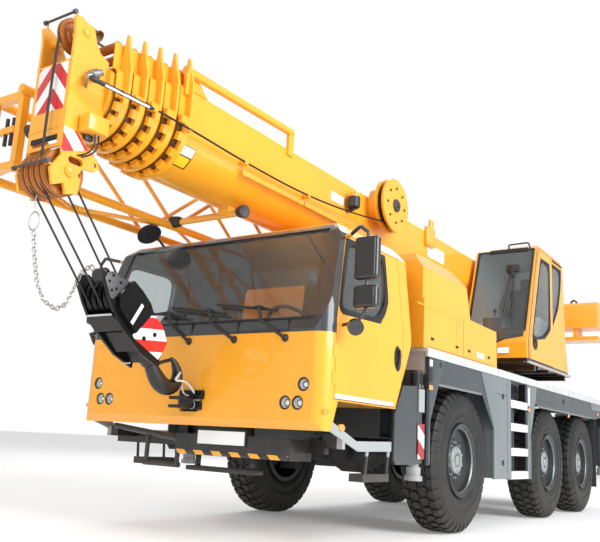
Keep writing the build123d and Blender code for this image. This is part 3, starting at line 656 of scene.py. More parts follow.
def near_belly(radius, x0, x1):
    """Mask builder: 1 within radius of the boom's belly axis, between x0 and x1."""

    def build(tree):
        parts = axes(tree)
        above = maths(tree, "SUBTRACT", parts["Z"], BELLY_Z)
        squares = maths(tree, "MULTIPLY", parts["Y"], parts["Y"])
        squares = maths(tree, "ADD", squares, maths(tree, "MULTIPLY", above, above))
        close = maths(tree, "LESS_THAN", squares, radius * radius)
        under = maths(tree, "LESS_THAN", parts["Z"], BELLY_Z + 0.02)
        off = maths(tree, "ABSOLUTE", maths(tree, "SUBTRACT", parts["X"], (x0 + x1) / 2))
        along = maths(tree, "LESS_THAN", off, (x1 - x0) / 2)
        return maths(tree, "MULTIPLY", maths(tree, "MULTIPLY", close, under), along)

    return build


def make_finishes(paints):
    """Every finish that the nodes and fittings share."""
    yellow, grey, rubber = paints.yellow[:], paints.grey[:], paints.rubber[:]
    slate, red, lining = paints.slate[:], paints.signal_red[:], (0.1, 0.105, 0.11)
    black, white, light = (0.008, 0.008, 0.009), (0.8, 0.8, 0.78), (0.33, 0.36, 0.37)
    deep_red = (0.34, 0.009, 0.01)
    # under_cab_shade is painted shade: near-black brown under the crane cab
    pale_lining, under_cab_shade = (0.4, 0.43, 0.44), (0.014, 0.009, 0.006)
    # recess_shade is painted shade: dark brown in the recesses behind the boom's collars
    recess_shade, dark_slate = (0.05, 0.016, 0.002), (0.034, 0.039, 0.043)
    pillar = all_of(in_box((3.3, -1.28, 1.575), (3.8, 1.28, 2.425)), side_plane((-1, 0, -0.3296), (3.64, 0, 1.7)))
    pillar_edge = all_of(
        in_box((3.3, -1.28, 1.575), (3.8, 1.28, 2.44)), side_plane((-1, 0, -0.3296), (3.622, 0, 1.7))
    )
    cowl = in_box((3.55, -1.28, 1.575), (3.8, 1.28, 1.695))
    crane_lining = all_of(
        in_box((-2.72, 0.43, 1.92), (-0.93, 1.218, 3.47)), side_plane((1.32, 0, 0.482), (-0.915, 0, 2.12))
    )
    crane_front = outlined(
        ((0.462, 2.11), (0.7, 2.08), (0.86, 2.15), (1.186, 2.2), (1.186, 3.42), (0.462, 3.42)), 0.026, "y"
    )
    made = {
        "yellow": paint("crane_yellow", yellow),
        # painted shade: the sheaves get a darker, browner copy of the yellow paint
        "sheave": paint("shaded_sheave_yellow", (yellow[0] * 0.45, yellow[1] * 0.34, yellow[2]), coat=0.2),
        "boom_head": paint(
            "boom_head_paint", yellow,
            parts=(
                (in_box((5.45, -0.17, 2.445), (5.48, 0.17, 2.475)), black),
                (in_box((5.365, -0.16, 3.55), (5.395, 0.16, 3.582)), black),
            ),
        ),
        "driver_cab": paint(
            "driver_cab_paint", yellow,
            parts=((pillar_edge, black), (pillar, dark_slate), (cowl, dark_slate), (driver_cab_lining(0.02), lining)),
        ),
        "driver_door": paint(
            "driver_door_paint", yellow,
            parts=(
                (outlined(DOOR_WINDOW, 0.03), black), (driver_cab_lining(0.012), lining),
                (in_box((3.3, 1.2745, 1.5), (3.8, 1.7, 2.5)), black),
                (in_box((3.3, -1.7, 1.5), (3.8, -1.2745, 2.5)), black),
            ),
        ),
        "crane_cab": paint(
            "crane_cab_paint", yellow,
            parts=(
                (all_of(crane_front, side_plane((-1.32, 0, -0.482), (-0.925, 0, 2.12))), black),
                (all_of(outlined(CRANE_REAR_WINDOW, 0.024), in_box((-3, 1.0, 2), (0, 1.3, 3.6))), black),
                # painted shade along the foot of the crane cab
                (crane_lining, pale_lining), (in_box((-2.8, 0.4, 1.8), (-0.8, 1.3, 1.932)), under_cab_shade),
            ),
        ),
        "turntable": paint(
            # painted shade on the turntable under the crane cab
            "turntable_paint", yellow, parts=((in_box((-2.9, 0.36, 1.5), (-0.84, 1.265, 1.96)), under_cab_shade),)
        ),
        "crane_door": paint(
            "crane_door_paint", yellow,
            parts=(
                (outlined(CRANE_DOOR_WINDOW, 0.022), black), (in_box((-3, 0.4, 1.8), (0, 1.256, 3.6)), pale_lining)
            ),
        ),
        "grey": paint("chassis_grey", grey, coat=0.3), "light_slate": paint("light_slate", slate, coat=0.3),
        "side_panels": paint(
            "side_panel_paint", grey, coat=0.3,
            parts=(
                (in_box((-0.935, -1.3, 0.4), (0.335, 1.3, 1.7)), slate),
                # painted shade: the inside of the ladder's recess is painted black
                (in_box((-0.83, -1.235, 0.4), (-0.228, 1.235, 1.7)), black),
            ),
        ),
        "bumper": paint(
            "bumper_paint", black, coat=0.3,
            parts=(
                (in_box((2.6, 1.2, 0.7), (3.7, 1.3, 1.0)), light),
                (in_box((2.6, -1.3, 0.7), (3.7, -1.2, 1.0)), light),
            ),
        ),
        "black_paint": paint("black_paint", black, coat=0.3, shine=0.3),
        "block_black": paint("block_black", (0.004, 0.004, 0.0045), coat=0.1, shine=0.25),
        "forged": plain("forged_black", (0.005, 0.005, 0.0055), 0.3, grain=90.0, depth=0.3, dirt=0.0, shine=0.6),
        "boom_base": paint(
            "boom_base_paint", yellow,
            parts=(
                # painted shade: dark brown in the recess behind the base collar
                (near_belly(0.354, 4.459, 4.512), recess_shade), (in_box((4.25, 0.15, 2.796), (4.392, 0.4, 2.938)), black),
                (in_box((4.256, 0.15, 2.87), (4.386, 0.4, 2.932)), white),
                (in_box((4.262, 0.15, 2.802), (4.38, 0.4, 2.862)), (0.85, 0.55, 0.02)),
            ),
        ),
        "light_grey": paint("light_grey_paint", light, coat=0.3),
        "white_panel": paint("white_panel", (0.72, 0.73, 0.73), coat=0.3),
        "white": paint("signal_white", white, coat=0.5),
        "head_sign": paint("head_sign", red, coat=0.4, parts=((chevrons(0.02, 1.15, 0.224, 0.97), white),)),
        "side_sign": paint("side_sign", white, coat=0.4, parts=((striped(everywhere, (4.2, 0, -4.2), 0.2), red),)),
        "block_mark": paint("block_mark", white, coat=0.4, parts=((striped(everywhere, (0.44, 0, 6.0), 0.4), red),)),
        "rear_board": paint("rear_board", white, coat=0.4, parts=((striped(everywhere, (0, 4.5, 4.5), 0.1), red),)),
        "reflector": paint(
            "jack_reflector", white, coat=0.4, parts=((striped(everywhere, (-2.72, 0, 4.05), 0.47), deep_red),)
        ),
        "hazard": paint("hazard_strip", yellow, coat=0.4, parts=((striped(everywhere, (0, 5.5, 5.5), 0.1), black),)),
        "rubber": plain("tyre_rubber", rubber, 0.55, grain=500.0, depth=0.2, dirt=0.1),
        "seal": plain("seal_rubber", black, 0.5, grain=700.0, depth=0.1),
        "black_plastic": plain("moulded_black", (0.016, 0.016, 0.017), 0.42, grain=900.0),
        "steel": plain("bare_steel", (0.42, 0.42, 0.42), 0.34, metallic=1.0, grain=220.0),
        "dark_steel": plain("dark_steel", (0.1, 0.1, 0.1), 0.45, metallic=0.8, grain=180.0),
        "cap_metal": plain("cap_metal", (0.07, 0.075, 0.078), 0.42, grain=180.0),
        "rope": plain("wire_rope", (0.16, 0.155, 0.15), 0.5, metallic=0.7, grain=900.0, depth=0.6),
        "rope_dark": plain("greased_rope", (0.03, 0.029, 0.028), 0.45, metallic=0.4, grain=900.0, depth=0.6),
        "sling": plain("sling_webbing", (0.62, 0.62, 0.6), 0.8, grain=1200.0, depth=0.5, dirt=0.2),
        "red_brown": plain("guide_red", (0.5, 0.15, 0.012), 0.5, grain=300.0),
        "bell": plain("bell_brown", (0.12, 0.05, 0.01), 0.4, grain=200.0),
        "galvanised": plain("galvanised_chain", (0.45, 0.45, 0.44), 0.4, metallic=0.8, grain=260.0),
        "cast": plain("cast_iron", (0.045, 0.045, 0.047), 0.6, metallic=0.3, grain=120.0, depth=0.5),
        "rim": plain("rim_steel", (0.04, 0.048, 0.052), 0.36, metallic=0.5, grain=150.0, dirt=0.2),
        # painted highlight: the rim's lip gets a lighter grey than the rim
        "rim_lip_highlight": plain("rim_lip_highlight", (0.17, 0.19, 0.2), 0.34, metallic=0.6, grain=160.0),
        "nut": plain("plated_nut", (0.5, 0.51, 0.52), 0.35, metallic=0.9, grain=200.0),
        "wheel_nut": plain("wheel_nut", (0.3, 0.33, 0.335), 0.45, metallic=0.3, grain=200.0),
        "hub": plain("hub_grey", (0.33, 0.365, 0.37), 0.42, metallic=0.35, grain=160.0),
        "aluminium": plain("deck_aluminium", (0.66, 0.67, 0.68), 0.4, metallic=0.35, grain=90.0),
        "chrome": plain("polished_rod", (0.75, 0.76, 0.78), 0.08, metallic=1.0, grain=60.0, depth=0.02),
        "seat": plain("seat_fabric", (0.03, 0.033, 0.036), 0.85, grain=1400.0, depth=0.5, dirt=0.0),
        "reflector_bowl": plain(
            "reflector_bowl", (0.86, 0.85, 0.81), 0.22, metallic=0.2, grain=60.0, depth=0.02, dirt=0.0
        ),
        "mirror": plain("mirror_glass", (0.55, 0.58, 0.6), 0.06, metallic=1.0, grain=30.0, depth=0.01),
        "screen": glazing("tinted_screen", (0.88, 0.935, 0.94), clear=0.97),
        "clear": glazing("clear_lens", (0.9, 0.92, 0.93)), "lamp": lit_lens("lamp_lens", (0.95, 0.94, 0.9), 0.45),
        "amber": lit_lens("amber_lens", (0.95, 0.28, 0.02), 0.2),
        "red_lens": lit_lens("red_lens", (0.65, 0.01, 0.01), 0.15),
    }
    for index in range(1, 5):
        collar, radius = BOOM_FRONT + COLLAR_STEP * index, BELLY_RADIUS - BELLY_STEP * index + 0.004
        # painted shade: dark brown in the recess behind each collar
        shadow = (near_belly(radius, collar - 0.051, collar + 0.002), recess_shade)
        made[f"section_{index}"] = paint(f"section_paint_{index}", yellow, parts=(shadow,))
    FINISHES.update(made)


def dress(nodes, finish):
    """Gives a finish to every slot of the CAD nodes."""
    for name in nodes:
        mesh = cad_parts[name].data
        if not mesh.materials:
            mesh.materials.append(finish)
        for index in range(len(mesh.materials)):
            mesh.materials[index] = finish


# finish, names of the nodes that get it
NODE_FINISHES = (
    ("rubber", "tyre_*"), ("rim", "rim_*"), ("cast", "knuckle_* axle_beams engine_block"),
    ("grey", "chassis_frame outrigger_beam_*"), ("side_panels", "side_panels"), ("bumper", "front_bumper"),
    ("light_grey", "jack_leg_*"), ("aluminium", "deck"),
    ("yellow", "engine_hood counterweight luffing_barrel luffing_lugs lattice_jib"), ("driver_cab", "driver_cab"),
    ("driver_door", "driver_door_left driver_door_right"), ("turntable", "turntable"), ("crane_cab", "crane_cab"),
    ("crane_door", "crane_cab_door"), ("boom_base", "boom_base"), ("section_1", "boom_section_1"),
    ("section_2", "boom_section_2"), ("section_3", "boom_section_3"), ("section_4", "boom_section_4"),
    ("boom_head", "boom_head_section"), ("screen", "*glass*"), ("seat", "driver_cab_interior"),
    # the head sheaves take the painted-shade copy of the yellow
    ("sheave", "head_sheaves"), ("block_black", "hook_block"), ("forged", "hook"), ("chrome", "luffing_rod"),
    ("dark_steel", "winch_drum"),
)


class CRANE_OT_finishes(bpy.types.Operator):
    """Makes the finishes and puts them on the CAD nodes"""

    bl_idname = "crane.finishes"
    bl_label = "Finishes"

    def execute(self, context):
        make_finishes(context.scene.crane_paint)
        left = set(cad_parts)
        for finish, patterns in NODE_FINISHES:
            members = [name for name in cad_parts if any(fnmatch(name, p) for p in patterns.split())]
            dress(members, FINISHES[finish])
            left.difference_update(members)
        if left:
            raise RuntimeError(f"nodes without a finish: {sorted(left)}")
        return {"FINISHED"}


# ---- wheels -------------------------------------------------------------------------
def wheel_set(master, label, body):
    """Copies a left front piece to all six wheels."""
    first_x = AXLES[0][1]
    pieces = []
    for index, x in AXLES:
        for side_name, side in SIDES:
            if (index, side) == (1, 1):
                continue
            matrix = Matrix.Translation((x - first_x, 0, 0)) @ Matrix.Diagonal((1, side, 1, 1))
            made = copied(master, f"{label}_{index}_{side_name}", matrix)
            pieces.append((made, index, side_name))
    master.name = master.data.name = f"{label}_1_left"
    pieces.append((master, 1, "left"))
    for piece, index, side_name in pieces:
        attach(piece, body.format(index, side_name))
    return pieces


def add_tyres():
    x, z = AXLES[0][1], WHEEL_Z
    low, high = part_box("tyre_1_left")
    y, half, r = (low.y + high.y) / 2, (high.y - low.y) / 2, high.z - z
    bead = 0.349
    # (distance from the middle, radius) of one half of the carcass
    half_profile = (
        (0.0, r - 0.019), (half - 0.052, r - 0.023), (half - 0.022, r - 0.062), (half - 0.01, r - 0.11),
        (half - 0.006, r - 0.114), (half - 0.004, r - 0.15), (half - 0.001, r - 0.18), (half - 0.001, r - 0.19),
        (half - 0.006, r - 0.196), (half - 0.01, r - 0.262), (half - 0.006, r - 0.268), (half - 0.008, r - 0.282),
        (half - 0.036, bead + 0.012), (half - 0.042, bead), (half - 0.062, bead), (half - 0.05, r - 0.18),
        (half - 0.08, r - 0.06), (0.0, r - 0.05),
    )
    profile = [*half_profile, *((-a, b) for a, b in reversed(half_profile[:-1]))]
    carcass = lathe("carcass", profile, (x, y, z), sides=72)
    lugs = []
    pitches, depth = 40, 0.04
    step = 2 * pi / pitches
    for sign in (1, -1):
        shoulder = cross_plate(
            "shoulder_lug",
            [
                (y + sign * 0.096, z + r - depth), (y + sign * 0.096, z + r - 0.001),
                (y + sign * (half - 0.047), z + r - 0.0125), (y + sign * (half - 0.016), z + r - 0.06),
                (y + sign * (half - 0.012), z + r - 0.105), (y + sign * (half - 0.04), z + r - 0.105),
            ],
            x - 0.033, 0.066,
        )
        centre = plate(
            "centre_lug",
            [
                (x - 0.026, y + sign * 0.01, z + r - depth), (x + 0.04, y + sign * 0.01, z + r - depth),
                (x + 0.022, y + sign * 0.052, z + r - depth), (x + 0.034, y + sign * 0.084, z + r - depth),
                (x - 0.03, y + sign * 0.084, z + r - depth), (x - 0.042, y + sign * 0.052, z + r - depth),
            ],
            (0, 0, depth - 0.001),
        )
        turn = Matrix.Rotation(step / 2 * (1 + sign * 0.5), 4, "Y")
        about = Matrix.Translation((x, y, z)) @ turn @ Matrix.Translation((-x, -y, -z))
        lugs += [shoulder, moved(centre, "centre_lug_turned", about)]
    tread = turned_copies(joined("tread", lugs), pitches, (x, y, z), (0, 1, 0))
    master = joined("tyre", [carcass, tread])
    fitted(master, "wheel_1_left", "rubber", angle=40)
    for piece, index, side_name in wheel_set(master, "treaded_tyre", "wheel_{}_{}"):
        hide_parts(f"tyre_{index}_{side_name}")


class CRANE_OT_tyres(bpy.types.Operator):
    """Adds the treaded tyres"""

    bl_idname = "crane.tyres"
    bl_label = "Tyres"

    def execute(self, context):
        add_tyres()
        return {"FINISHED"}


def add_hubs():
    x, z = AXLES[0][1], WHEEL_Z
    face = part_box("rim_1_left")[1].y - 0.114
    about = (x, face, z)
    nut = lathe(
        "nut",
        [(-0.004, 0), (-0.004, 0.023), (0.004, 0.023), (0.006, 0.0165), (0.026, 0.0165),
         (0.028, 0.012), (0.046, 0.012), (0.048, 0)],
        (x, face, z + 0.168), sides=6,
    )
    nuts = turned_copies(nut, 10, about, (0, 1, 0))
    cap = lathe(
        "cap",
        [(0.01, 0.134), (0.052, 0.131), (0.06, 0.124), (0.062, 0.112), (0.062, 0.048), (0.066, 0.044), (0.066, 0)],
        about, sides=32,
    )
    bolt = lathe("cap_bolt", [(0.06, 0), (0.06, 0.007), (0.068, 0.007), (0.069, 0)], (x, face, z + 0.1), sides=6)
    bolts = turned_copies(bolt, 8, about, (0, 1, 0))
    steel = joined("wheel_nuts", [nuts, bolts])
    fitted(steel, "wheel_1_left", "wheel_nut", angle=30)
    fitted(cap, "wheel_1_left", "hub", angle=40)
    hole = lathe(
        "hand_hole", [(0.013, 0), (0.013, 0.024), (0.017, 0.03), (0.013, 0.034), (0.004, 0.034)],
        (x, face, z + 0.222), sides=14,
    )
    holes = turned_copies(hole, 10, about, (0, 1, 0))
    fitted(holes, "wheel_1_left", "black_plastic", angle=40)
    lip = lathe(
        "rim_lip", [(0.083, 0.3), (0.1, 0.312), (0.1095, 0.346), (0.1095, 0.352), (0.104, 0.352), (0.092, 0.318)],
        about, sides=64,
    )
    # the lip's lighter finish is a painted highlight
    fitted(lip, "wheel_1_left", "rim_lip_highlight", angle=40)
    for piece, label in ((steel, "wheel_nuts"), (cap, "hub_cap"), (holes, "hand_holes"), (lip, "rim_lip")):
        wheel_set(piece, label, "wheel_{}_{}")


class CRANE_OT_hubs(bpy.types.Operator):
    """Adds wheel nuts, hand holes, hub caps and rim lips"""

    bl_idname = "crane.hubs"
    bl_label = "Wheel hubs"

    def execute(self, context):
        add_hubs()
        return {"FINISHED"}


# ---- driver's cab -------------------------------------------------------------------
def lamp(name, centre, radius, body, axis=(1, 0, 0), depth=0.05, lens="clear"):
    """Round lamp: dark ring, bright bowl, bulb and a clear front."""
    fit_lathe(
        body, "black_plastic", f"{name}_ring",
        [
            (-depth, 0), (-depth, radius * 0.9), (0, radius), (0.01, radius * 0.97), (0.01, radius * 0.8),
            (-depth * 0.3, radius * 0.77), (-depth * 0.9, 0),
        ],
        centre, sides=28, axis=axis,
    )
    fit_lathe(
        body, "reflector_bowl", f"{name}_bowl",
        [
            (-depth * 0.8, 0), (-depth * 0.7, radius * 0.38), (-depth * 0.3, radius * 0.66),
            (-0.004, radius * 0.76), (-0.006, radius * 0.78), (-depth * 0.85, radius * 0.6), (-depth * 0.88, 0),
        ],
        centre, sides=28, axis=axis, angle=50,
    )
    fit_lathe(
        body, "lamp", f"{name}_bulb",
        [(-depth * 0.8, 0), (-depth * 0.8, radius * 0.24), (-depth * 0.35, radius * 0.27), (-depth * 0.12, 0)],
        centre, sides=14, axis=axis, angle=50,
    )
    fit_lathe(
        body, lens, f"{name}_lens",
        [(0, 0), (0, radius * 0.8), (0.006, radius * 0.79), (0.01, radius * 0.5), (0.011, 0)], centre,
        sides=28, axis=axis, angle=50,
    )


def screen_x(z, inset=0.0):
    """Front of the driver's cab at a height, along its raked windscreen."""
    foot_x, foot_z, head_x, head_z = 3.724, 1.7, 3.49, 2.41
    return foot_x + (head_x - foot_x) * (z - foot_z) / (head_z - foot_z) + inset


def add_cab_front():
    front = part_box("driver_cab")[1].x
    for side_name, side in SIDES:
        # lamp name, y, z
        for label, y, z in (("turn", 1.085, 1.19), ("main", 1.04, 1.056), ("fog", 0.93, 1.056)):
            lamp(f"{label}_lamp_{side_name}", (front - 0.014, side * y, z), 0.051, "chassis")
    # pivot y, arm end y, blade end
    plan = ((-0.057, -0.266, -0.96), (0.415, 0.174, -0.33), (0.902, 0.676, 0.18))
    for number, (foot_y, grip_y, far_y) in enumerate(plan, start=1):
        pivot = lathe(
            "wiper_pivot", [(-0.02, 0), (-0.02, 0.03), (0.01, 0.03), (0.03, 0.02), (0.034, 0)],
            (front - 0.006, foot_y, 1.53), sides=20, axis=(1, 0, 0.12),
        )
        grip = Vector((screen_x(1.79, 0.04), grip_y - 0.05, 1.79))
        bend = Vector((front + 0.02, grip_y, 1.676))
        arm = tube("wiper_arm", [(front + 0.016, foot_y, 1.53), bend, grip], 0.013, sides=2)
        low = Vector((screen_x(1.745, 0.02), grip_y + 0.13, 1.745))
        high = Vector((screen_x(1.83, 0.02), far_y, 1.83))
        blade = tube("wiper_blade", [low, (low + high) / 2, high], 0.011, sides=2)
        middle = low.lerp(high, 0.38)
        spine = tube("wiper_spine", [low.lerp(high, 0.12), grip, middle + Vector((0.022, 0, 0)), low.lerp(high, 0.8)],
                     0.008, sides=2)
        fitted(joined(f"wiper_{number}", [pivot, arm, blade, spine]), "chassis", "black_plastic")
    ribs = []
    for y in (-1.0, -0.52, -0.04, 0.44, 0.92):
        ribs.append(block("cowl_rib", (front - 0.012, y, 1.585), (front + 0.004, y + 0.008, 1.688)))
    fitted(joined("cowl_ribs", ribs), "chassis", "seal", ease=0.002)
    sill = block("screen_sill", (front - 0.032, -1.13, 1.672), (front - 0.004, 1.13, 1.69))
    fitted(sill, "chassis", "seal", ease=0.006)
    coupling = blocks(
        "coupling",
        ((front - 0.03, -0.088, 1.066), (front + 0.034, 0.156, 1.136)),
        ((front - 0.03, -0.062, 0.982), (front + 0.022, 0.138, 1.052)),
        ((front - 0.03, -0.03, 1.046), (front + 0.012, 0.11, 1.072)),
    )
    fitted(coupling, "chassis", "block_black", ease=0.008)
    pins = [bar("pin", 0.008, (front + 0.03, -0.06, 1.058), (front + 0.03, 0.13, 1.058))]
    pins.append(tube("pull_ring", [(front + 0.034, 0.06 + 0.03 * cos(a), 1.02 + 0.03 * sin(a))
                                   for a in [radians(30 * n) for n in range(13)]], 0.004))
    fitted(joined("coupling_pins", pins), "chassis", "nut")
    bar_x = 3.69
    fit_blocks("chassis", (
        ("plate_frame", (bar_x, 0.072, 0.716), (bar_x + 0.012, 0.562, 0.842), "black_plastic", 0.004),
        ("blank_plate", (bar_x + 0.012, 0.084, 0.728), (bar_x + 0.016, 0.55, 0.83), "white", 0.002),
        ("hazard_strip", (bar_x, -0.15, 0.642), (bar_x + 0.005, 0.95, 0.676), "hazard", 0.001),
    ))
    treads = []
    for number in range(9):
        y = -0.1 + 0.12 * number
        treads.append(block("grip", (3.405, y, 0.797), (bar_x - 0.008, y + 0.03, 0.806)))
    fitted(joined("front_step_grips", treads), "chassis", "dark_steel", ease=0.002)
    low = block("low_step", (3.56, -0.04, 0.52), (3.68, 0.64, 0.556))
    straps = [block("strap", (3.6, y, 0.55), (3.64, y + 0.03, 0.645)) for y in (0.02, 0.56)]
    fitted(joined("low_step", [low, *straps]), "chassis", "black_paint", ease=0.005)
    for side_name, side in SIDES:
        # marker name, x, y, z, half length
        for label, x, y, z, half in (("corner", 3.655, 1.247, 1.0, 0.06), ("rail", 3.464, 1.254, 0.898, 0.038)):
            lens = lathe(
                f"{label}_marker_{side_name}",
                [(-0.014, 0), (-0.014, 0.026), (0.006, 0.026), (0.014, 0.018), (0.016, 0)],
                (0, 0, 0), sides=20, axis=(0, side, 0),
            )
            shape = Matrix.Translation((x, side * y, z)) @ Matrix.Diagonal((half / 0.026, 1, 1, 1))
            fitted(moved(lens, f"{label}_marker_{side_name}_lens", shape), "chassis", "amber", angle=50)


class CRANE_OT_cab_front(bpy.types.Operator):
    """Adds headlamps, wipers, cowl ribs, blank plate and hazard strip"""

    bl_idname = "crane.cab_front"
    bl_label = "Cab front"

    def execute(self, context):
        add_cab_front()
        return {"FINISHED"}


def add_cab_roof():
    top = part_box("driver_cab")[1].z
    gutter = tube(
        "roof_gutter",
        [(3.3, 1.085, top - 0.02), (2.45, 1.085, top - 0.02), (2.45, 1.085, top - 0.022)], 0.01, sides=2,
    )
    fitted(gutter, "chassis", "yellow")
    fitted(mirrored(gutter, "roof_gutter_right"), "chassis", "yellow")
    for number, (x, y) in enumerate(((2.7, 0.8), (2.7, -0.8)), start=1):
        fit_lathe(
            "chassis", "black_plastic", f"beacon_base_{number}",
            [(-0.01, 0), (-0.01, 0.07), (0.022, 0.066), (0.03, 0.05), (0.03, 0)], (x, y, top), sides=28,
            axis=(0, 0, 1),
        )
        fit_lathe(
            "chassis", "amber", f"beacon_{number}",
            [(0.03, 0), (0.03, 0.052), (0.08, 0.056), (0.12, 0.048), (0.138, 0.026), (0.142, 0)],
            (x, y, top), sides=28, axis=(0, 0, 1), angle=50,
        )
    stalk = tube(
        "kerb_mirror_stalk",
        [(3.36, -0.8, top - 0.04), (3.5, -0.78, top + 0.05), (3.64, -0.74, top + 0.06)], 0.012, bend=1,
    )
    shell = lathe(
        "kerb_mirror_shell", [(-0.03, 0), (-0.028, 0.06), (-0.01, 0.105), (0.012, 0.11), (0.012, 0.102), (0.004, 0)],
        (3.66, -0.73, top + 0.03), sides=30, axis=(0.1, 0.62, -0.78),
    )
    fitted(joined("kerb_mirror", [stalk, shell]), "chassis", "black_plastic", angle=40)


class CRANE_OT_cab_roof(bpy.types.Operator):
    """Adds roof edges, beacons and the kerb mirror on the cab"""

    bl_idname = "crane.cab_roof"
    bl_label = "Cab roof"

    def execute(self, context):
        add_cab_roof()
        return {"FINISHED"}


def swollen(outline, by):
    """Convex outline with each corner moved away from its middle."""
    middle = sum((Vector(p) for p in outline), Vector((0, 0))) / len(outline)
    moved = []
    for point in outline:
        away = Vector(point) - middle
        moved.append(Vector(point) + Vector((by if away.x > 0 else -by, by if away.y > 0 else -by)))
    return moved


def rounded(outline, reach):
    """Outline with each corner turned into a smooth curve."""
    made = []
    count = len(outline)
    for index in range(count):
        before, corner, after = (Vector(outline[(index + step) % count]) for step in (-1, 0, 1))
        back = before - corner
        ahead = after - corner
        start = corner + back.normalized() * min(reach, back.length * 0.45)
        end = corner + ahead.normalized() * min(reach, ahead.length * 0.45)
        for number in range(6):
            share = number / 5
            made.append(tuple(start.lerp(corner, share).lerp(corner.lerp(end, share), share)))
    return made


def add_doors():
    for side_name, side in SIDES:
        body = f"driver_door_{side_name}_body"
        skin = 1.2702
        grip = lathe(
            "handle_pan", [(-0.004, 0), (-0.004, 1.0), (0.004, 0.97), (0.006, 0.84), (0.0015, 0.76), (0.001, 0)],
            (0, 0, 0), sides=30,
        )
        shape = Matrix.Translation((2.632, skin, 1.5)) @ Matrix.Rotation(0.1, 4, "Y")
        shape = shape @ Matrix.Diagonal((0.062, 1.0, 0.108, 1.0))
        pan = moved(grip, "handle_pan_placed", shape)
        pull = tube(
            "handle_pull",
            [(2.612, skin + 0.004, 1.575), (2.618, skin + 0.02, 1.545), (2.64, skin + 0.02, 1.45),
             (2.648, skin + 0.004, 1.42)], 0.012, bend=1,
        )
        handle = joined(f"door_handle_{side_name}", [pan, pull])
        sill = block("sill", (2.69, skin - 0.006, 1.101), (3.606, skin + 0.001, 1.136))
        glass = block("tall_glass", (3.4965, 1.378, 1.995), (3.5005, 1.546, 2.285))
        small = block("small_glass", (3.4965, 1.378, 1.778), (3.5005, 1.546, 1.914))
        glasses = joined(f"mirror_glass_{side_name}", [glass, small])
        if side < 0:
            handle, sill, glasses = (moved(piece, f"{piece.name}_right", MIRROR) for piece in (handle, sill, glasses))
        fitted(handle, body, "black_plastic", angle=45)
        sill.name = f"door_sill_{side_name}"
        fitted(sill, body, "aluminium", ease=0.002)
        fitted(glasses, body, "mirror", ease=0.001)
        # the door leans in above this height, so the seal leans with it
        rim, hole = (
            plate("window_seal", [(x, skin - 0.112 * max(z - 1.72, 0) + start, z) for x, z in rounded(outline, 0.11)],
                  (0, depth, 0))
            for outline, start, depth in (
                (swollen(DOOR_WINDOW, 0.026), -0.002, 0.006), (swollen(DOOR_WINDOW, -0.014), -0.012, 0.03),
            )
        )
        fitted(on_side(cut(rim, hole), side, f"window_seal_{side_name}"), body, "seal", ease=0.0015)


class CRANE_OT_doors(bpy.types.Operator):
    """Adds handles, sills, window seals and mirror glass to the driver's doors"""

    bl_idname = "crane.doors"
    bl_label = "Driver's doors"

    def execute(self, context):
        add_doors()
        return {"FINISHED"}


# ---- cords and cushions -------------------------------------------------------------
def flex(name, body, points, diameter):
    """Electric cord along points, whose far end goes back into the crane."""
    fresh()
    bpy.ops.curve.primitive_nurbs_path_add()
    piece = bpy.context.object
    line = piece.data
    line.splines.clear()
    spline = line.splines.new("NURBS")
    spline.points.add(len(points) - 1)
    # the curve's box counts each point's radius, so the radius is the cord's own
    for knot, where in zip(spline.points, points):
        knot.co, knot.radius = (*where, 1), diameter / 2
    spline.order_u = 3
    spline.use_endpoint_u = True
    line.dimensions = "3D"
    line.resolution_u = line.render_resolution_u = 8
    line.bevel_depth, line.bevel_resolution = 1.0, 3
    line.use_fill_caps = True
    applied(name)
    line.materials.append(FINISHES["black_plastic"])
    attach(piece, body)
    measured = copied(piece, "measured", Matrix.Identity(4))
    measured.data.bevel_depth = 0.0
    measured = only_mesh(measured)
    bpy.data.objects.remove(measured)
    return piece


def only_mesh(piece):
    alone(piece)
    bpy.ops.object.convert(target="MESH")
    return bpy.context.object


def cushion(name, body, outline, y0, y1):
    """Stuffed seat part from an (x, z) outline: rounded and blown out."""
    form = side_plate(name, outline, y0, y1 - y0)
    eased(form, 0.03, 3)
    remesh = form.modifiers.new("remesh", "REMESH")
    remesh.mode, remesh.voxel_size = "VOXEL", 0.01
    with_modifiers(form)
    cloth = form.modifiers.new("cloth", "CLOTH")
    cloth.settings.quality = 5
    cloth.settings.use_pressure = True
    cloth.settings.uniform_pressure_force = 4.0
    cloth.settings.effector_weights.gravity = 0.0
    for number in range(1, 13):
        bpy.context.scene.frame_set(number)
    with_modifiers(form)
    bpy.context.scene.frame_set(1)
    soften = form.modifiers.new("soften", "SMOOTH")
    soften.iterations, soften.factor = 3, 0.5
    with_modifiers(form)
    fitted(form, body, "seat", angle=80)
    return form


